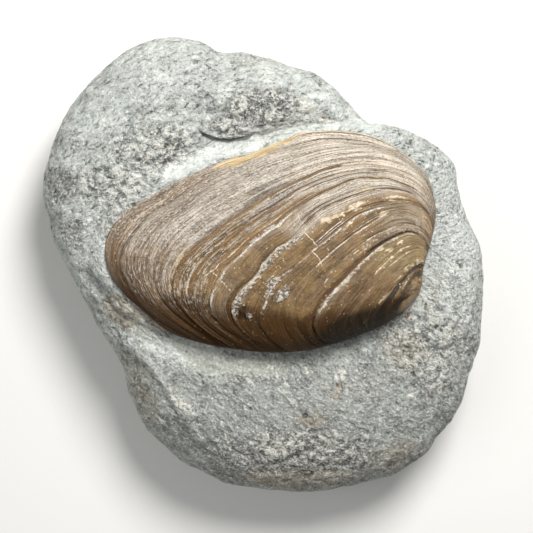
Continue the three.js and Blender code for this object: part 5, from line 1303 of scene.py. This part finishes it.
    gloss = m.math("ADD", m.step(speck, .3, .7, .30, .46), m.math("MULTIPLY", coarse, .12))
    gloss = m.math("ADD", gloss, m.math("MULTIPLY", m.attr("m_pale"), .22))
    gloss = m.math("ADD", gloss, m.math("MULTIPLY", m.attr("m_gold"), -.08), clamp=True)
    height = m.math("ADD", m.math("MULTIPLY", lines, .9), m.math("MULTIPLY", hair, .50))
    height = m.math("ADD", height, m.math("SUBTRACT", m.math("MULTIPLY", bright, .45), m.math("MULTIPLY", thin, .60)))
    height = m.math("MULTIPLY", height, m.math("ADD", .14, m.math("MULTIPLY", calm, .86)))
    height = m.math("ADD", height, m.math("MULTIPLY", speck, m.math("ADD", .35, m.math("MULTIPLY", coarse, 1.1))))
    height = m.math("ADD", height, m.math("MULTIPLY", grit, .35))
    height = m.math("ADD", height, m.math("MULTIPLY", m.math("MULTIPLY", streak, coarse), 1.0))
    height = m.math("ADD", height, m.math("MULTIPLY", m.math("MULTIPLY", net, worn), .9))
    bump = m.node("ShaderNodeBump", {"Strength": 1.0, "Distance": 0.00030, "Height": height})
    shader = m.node("ShaderNodeBsdfPrincipled", {"Base Color": colour, "Roughness": gloss, "Normal": bump.outputs[0], "IOR": 1.5, "Specular IOR Level": m.step(m.attr("z_low"), .2, .9, .27, .06)})
    out = m.node("ShaderNodeOutputMaterial")
    m.tree.links.new(shader.outputs[0], out.inputs[0])
    return m.material


STONE_FLECKS = [
    ((221, 421), (223, 427), .26), ((224, 432), (225, 436), .24), ((227, 441), (228, 444), .24), ((229, 449), (230, 452), .26), ((232, 456), (233, 459), .26),
    ((265, 422), (266, 427), .22), ((267, 433), (268, 437), .22), ((266, 450), (275, 449), .38), ((277, 449), (286, 446), .42), ((287, 445), (292, 440), .36),
    ((296, 438), (303, 433), .34), ((305, 431), (309, 428), .28), ((306, 447), (311, 452), .30), ((311, 453), (311, 459), .30), ((310, 460), (307, 465), .28),
    ((340, 368), (343, 378), .50), ((346, 366), (343, 377), .34), ((335, 376), (337, 382), .34), ((306, 368), (308, 376), .36), ((247, 378), (250, 384), .28),
    ((251, 380), (254, 387), .26), ((276, 372), (277, 379), .26), ((284, 379), (286, 385), .24), ((277, 391), (284, 393), .24), ((268, 368), (273, 367), .30),
    ((250, 469), (257, 472), .45), ((240, 464), (247, 466), .36), ((262, 475), (272, 473), .40), ((296, 478), (306, 476), .42), ((327, 446), (333, 444), .30),
    ((448, 338), (455, 333), .45), ((440, 341), (446, 337), .36), ((424, 402), (431, 399), .36), ((409, 396), (415, 394), .32), ((399, 354), (405, 351), .28), ((153, 153), (162, 150), .42), ((143, 160), (150, 157), .38), ((170, 164), (176, 162), .34),
    ((136, 354), (141, 361), .50), ((146, 366), (150, 372), .50), ((153, 374), (158, 379), .60), ((165, 391), (170, 396), .70), ((172, 396), (178, 401), .80),
    ((180, 404), (186, 410), .70), ((175, 405), (180, 411), .50), ((188, 408), (194, 414), .50), ((168, 400), (172, 405), .42),
]


def stone_material():
    m = Tree("matrix_limestone")
    obj = m.node("ShaderNodeTexCoord").outputs["Object"]
    broad = m.noise(obj, 90, 3, .55)
    cloud = m.noise(obj, 260, 4, .6, .4)
    upper = m.attr("m_upper")
    lie_a = m.node("ShaderNodeMapping", {"Vector": obj, "Rotation": (0.0, 0.0, math.radians(26)), "Scale": (1 / 640, 1 / 1150, 1 / 1000)}, vector_type="TEXTURE").outputs[0]
    lie_b = m.node("ShaderNodeMapping", {"Vector": obj, "Rotation": (0.0, 0.0, math.radians(-36)), "Scale": (1 / 760, 1 / 1350, 1 / 1100)}, vector_type="TEXTURE").outputs[0]
    grain_a = m.noise(lie_a, 1.0, 5, .68, .5)
    grain_b = m.noise(lie_b, 1.0, 5, .68, .5)
    grain = m.math("ADD", m.math("MULTIPLY", grain_a, upper), m.math("MULTIPLY", grain_b, m.math("SUBTRACT", 1.0, upper)))
    fine = m.noise(obj, 2300, 4, .68)
    soft = m.math("SUBTRACT", 1.0, m.math("MULTIPLY", m.attr("m_smooth"), .70))
    grit = m.noise(obj, 6000, 2, .6)
    crumbs = m.noise(obj, 880, 4, .66, .3)
    relief = m.attr("relief")
    # the base tone follows the relief: low places painted darker as shade, high ones lighter as painted light, over the
    # rock's own grey grain
    level = m.math("ADD", m.math("MULTIPLY", relief, .40), m.math("MULTIPLY", m.math("ADD", m.math("MULTIPLY", m.math("SUBTRACT", grain, .5), soft), .5), .60))
    colour = m.ramp(level, [(.24, srgb(102, 105, 102)), (.41, srgb(165, 169, 165)), (.57, srgb(211, 216, 210)), (.76, srgb(236, 239, 232))])
    colour = m.mix(m.step(cloud, .46, .72, 0, .30), colour, srgb(150, 152, 151))
    colour = m.mix(m.step(cloud, .45, .25, 0, .35), colour, srgb(214, 212, 203))
    colour = m.mix(m.step(broad, .48, .7, 0, .25), colour, srgb(176, 171, 160))
    # the lower part of the face is painted darker, with duller crumbs and grains, as painted shade on the part turned
    # from the light
    lower = m.attr("m_lower")
    colour = m.mix(m.math("MULTIPLY", lower, .80), colour, m.mix(.55, colour, srgb(108, 107, 102)))
    colour = m.mix(m.math("MULTIPLY", m.torn(m.attr("m_grey"), grain, .9), .66), colour, m.mix(m.step(fine, .44, .58), srgb(96, 97, 95), srgb(182, 180, 173)))
    colour = m.mix(m.math("MULTIPLY", m.torn(m.attr("m_stain"), cloud, .7), .60), colour, m.mix(m.step(grain, .4, .6), srgb(156, 141, 118), srgb(198, 184, 160)))
    colour = m.mix(m.math("MULTIPLY", m.attr("m_green"), .55), colour, m.mix(m.step(fine, .4, .6), srgb(148, 150, 138), srgb(176, 177, 164)))
    colour = m.mix(m.math("MULTIPLY", m.torn(m.attr("m_pale"), grain, .6), .84), colour, m.mix(m.step(fine, .4, .62), srgb(202, 206, 202), srgb(230, 233, 227)))
    colour = m.mix(m.math("MULTIPLY", m.torn(m.attr("m_cream"), fine, .7), .80), colour, srgb(232, 228, 212))
    colour = m.mix(m.math("MULTIPLY", m.attr("m_orange"), .85), colour, srgb(150, 98, 48))
    crumb = m.math("MULTIPLY", m.attr("m_crumb"), m.step(crumbs, .510, .55))
    # the gaps between the raised crumbs are painted dark as shade
    crumb_gap_shade = m.math("MULTIPLY", m.attr("m_crumb"), m.step(crumbs, .475, .42))
    colour = m.mix(m.math("MULTIPLY", crumb, .85), colour, m.mix(m.math("MULTIPLY", lower, .45), srgb(254, 251, 240), srgb(206, 203, 192)))
    colour = m.mix(m.math("MULTIPLY", crumb_gap_shade, .70), colour, srgb(98, 99, 96))
    white = m.math("MULTIPLY", flecks(m, obj, STONE_FLECKS, 0.0009), m.step(fine, .40, .52, .15, 1.0))
    colour = m.mix(m.math("MULTIPLY", white, .90), colour, srgb(236, 233, 222))
    # pits, cracks and the strip below the lip are painted dark as shade in them; fine crystals are bright
    colour = m.mix(m.math("MULTIPLY", m.torn(m.attr("m_pit_shade"), fine, .9), .62), colour, srgb(52, 50, 46))
    colour = m.mix(m.math("MULTIPLY", m.step(fine, .55, .65, 0, .78), soft), colour, m.mix(m.math("MULTIPLY", lower, .3), srgb(252, 251, 244), srgb(222, 220, 212)))
    colour = m.mix(m.math("MULTIPLY", m.step(fine, .46, .34, 0, .65), soft), colour, srgb(86, 85, 81))
    # the grain that also drives the bump is painted dark in its hollows as shade and pale on its crests as painted
    # light, over the rock's own speckle
    colour = m.mix(m.math("MULTIPLY", m.math("MULTIPLY", m.step(grain, .45, .35, 0, .80), soft), m.math("SUBTRACT", 1.0, m.math("MULTIPLY", lower, .45))), colour, srgb(78, 78, 75))
    colour = m.mix(m.math("MULTIPLY", m.step(grain, .56, .65, 0, .60), soft), colour, m.mix(m.math("MULTIPLY", lower, .5), srgb(242, 242, 236), srgb(214, 213, 205)))
    colour = m.mix(m.step(grit, .58, .75, 0, .30), colour, srgb(84, 83, 79))
    height = m.math("ADD", m.math("MULTIPLY", grain, 1.3), m.math("MULTIPLY", fine, .45))
    height = m.math("ADD", height, m.math("MULTIPLY", grit, .08))
    height = m.math("ADD", height, m.math("MULTIPLY", m.math("MULTIPLY", crumbs, m.attr("m_crumb")), 1.7))
    height = m.math("MULTIPLY", m.math("MULTIPLY", height, soft), m.math("SUBTRACT", 1.0, m.math("MULTIPLY", lower, .25)))
    bump = m.node("ShaderNodeBump", {"Strength": 1.0, "Distance": 0.0013, "Height": height})
    gloss = m.step(grain, .3, .7, .80, .95)
    shader = m.node("ShaderNodeBsdfPrincipled", {"Base Color": colour, "Roughness": gloss, "Normal": bump.outputs[0], "IOR": 1.45, "Specular IOR Level": 0.25})
    out = m.node("ShaderNodeOutputMaterial")
    m.tree.links.new(shader.outputs[0], out.inputs[0])
    return m.material


def floor_material():
    m = Tree("studio_floor")
    obj = m.node("ShaderNodeTexCoord").outputs["Object"]
    tone = m.noise(obj, 6, 2, .5)
    colour = m.mix(m.step(tone, .3, .7), srgb(214, 213, 210), srgb(220, 219, 216))
    bump = m.node("ShaderNodeBump", {"Strength": 0.15, "Distance": 0.0001, "Height": m.noise(obj, 900, 2)})
    shader = m.node("ShaderNodeBsdfPrincipled", {"Base Color": colour, "Roughness": m.step(tone, .3, .7, .8, .9), "Normal": bump.outputs[0]})
    out = m.node("ShaderNodeOutputMaterial")
    m.tree.links.new(shader.outputs[0], out.inputs[0])
    return m.material


# ---------------------------------------------------------------- the scene
shell = shell_piece(shell_material())
shell.name = "fossil_shell_surface"
stone = stone_piece(stone_material())
stone.name = "matrix_stone_surface"
for piece, node, slot in ((shell, "bivalve_shell", "fossil_shell"), (stone, "matrix_stone", "matrix_limestone")):
    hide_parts(node)
    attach(piece, "root")

floor_mesh = bpy.data.meshes.new("floor")
floor_mesh.from_pydata([(-1.5, -1.5, 0), (1.5, -1.5, 0), (1.5, 1.5, 0), (-1.5, 1.5, 0)], [], [(0, 1, 2, 3)])
floor = bpy.data.objects.new("floor", floor_mesh)
bpy.context.scene.collection.objects.link(floor)
floor_mesh.materials.append(floor_material())


def area_light(name, place, target, size, watts, colour):
    data = bpy.data.lights.new(name, "AREA")
    data.shape = "DISK"
    data.size = size
    data.energy = watts
    data.color = colour
    light = bpy.data.objects.new(name, data)
    light.location = place
    light.rotation_euler = (Vector(target) - Vector(place)).to_track_quat("-Z", "Y").to_euler()
    bpy.context.scene.collection.objects.link(light)
    return light


area_light("key", (0.08, 0.160, 0.25), (0.004, 0.004, 0.015), 0.13, 1.34, (1.0, 0.995, 0.98))
area_light("fill", (-0.20, -0.06, 0.26), (0, 0, 0.015), 0.24, 0.30, (1.0, 1.0, 1.0))

world = bpy.data.worlds.new("studio")
world.use_nodes = True
bpy.context.scene.world = world
background = world.node_tree.nodes["Background"]
background.inputs["Color"].default_value = (0.82, 0.83, 0.84, 1)
background.inputs["Strength"].default_value = 0.31

camera_data = bpy.data.cameras.new("camera")
camera_data.lens = 90
camera_data.sensor_width = 36
camera_data.sensor_fit = "HORIZONTAL"
camera_data.clip_start = 0.01
camera_data.clip_end = 20
camera = bpy.data.objects.new("camera", camera_data)
camera.location = (EYE_X * 0.001, EYE_Y * 0.001, EYE_Z * 0.001)
camera.rotation_euler = (0, 0, 0)
bpy.context.scene.collection.objects.link(camera)
bpy.context.scene.camera = camera
bpy.context.scene.view_settings.view_transform = "Standard"
bpy.context.scene.view_settings.look = "None"
bpy.context.scene.view_settings.exposure = 0.0
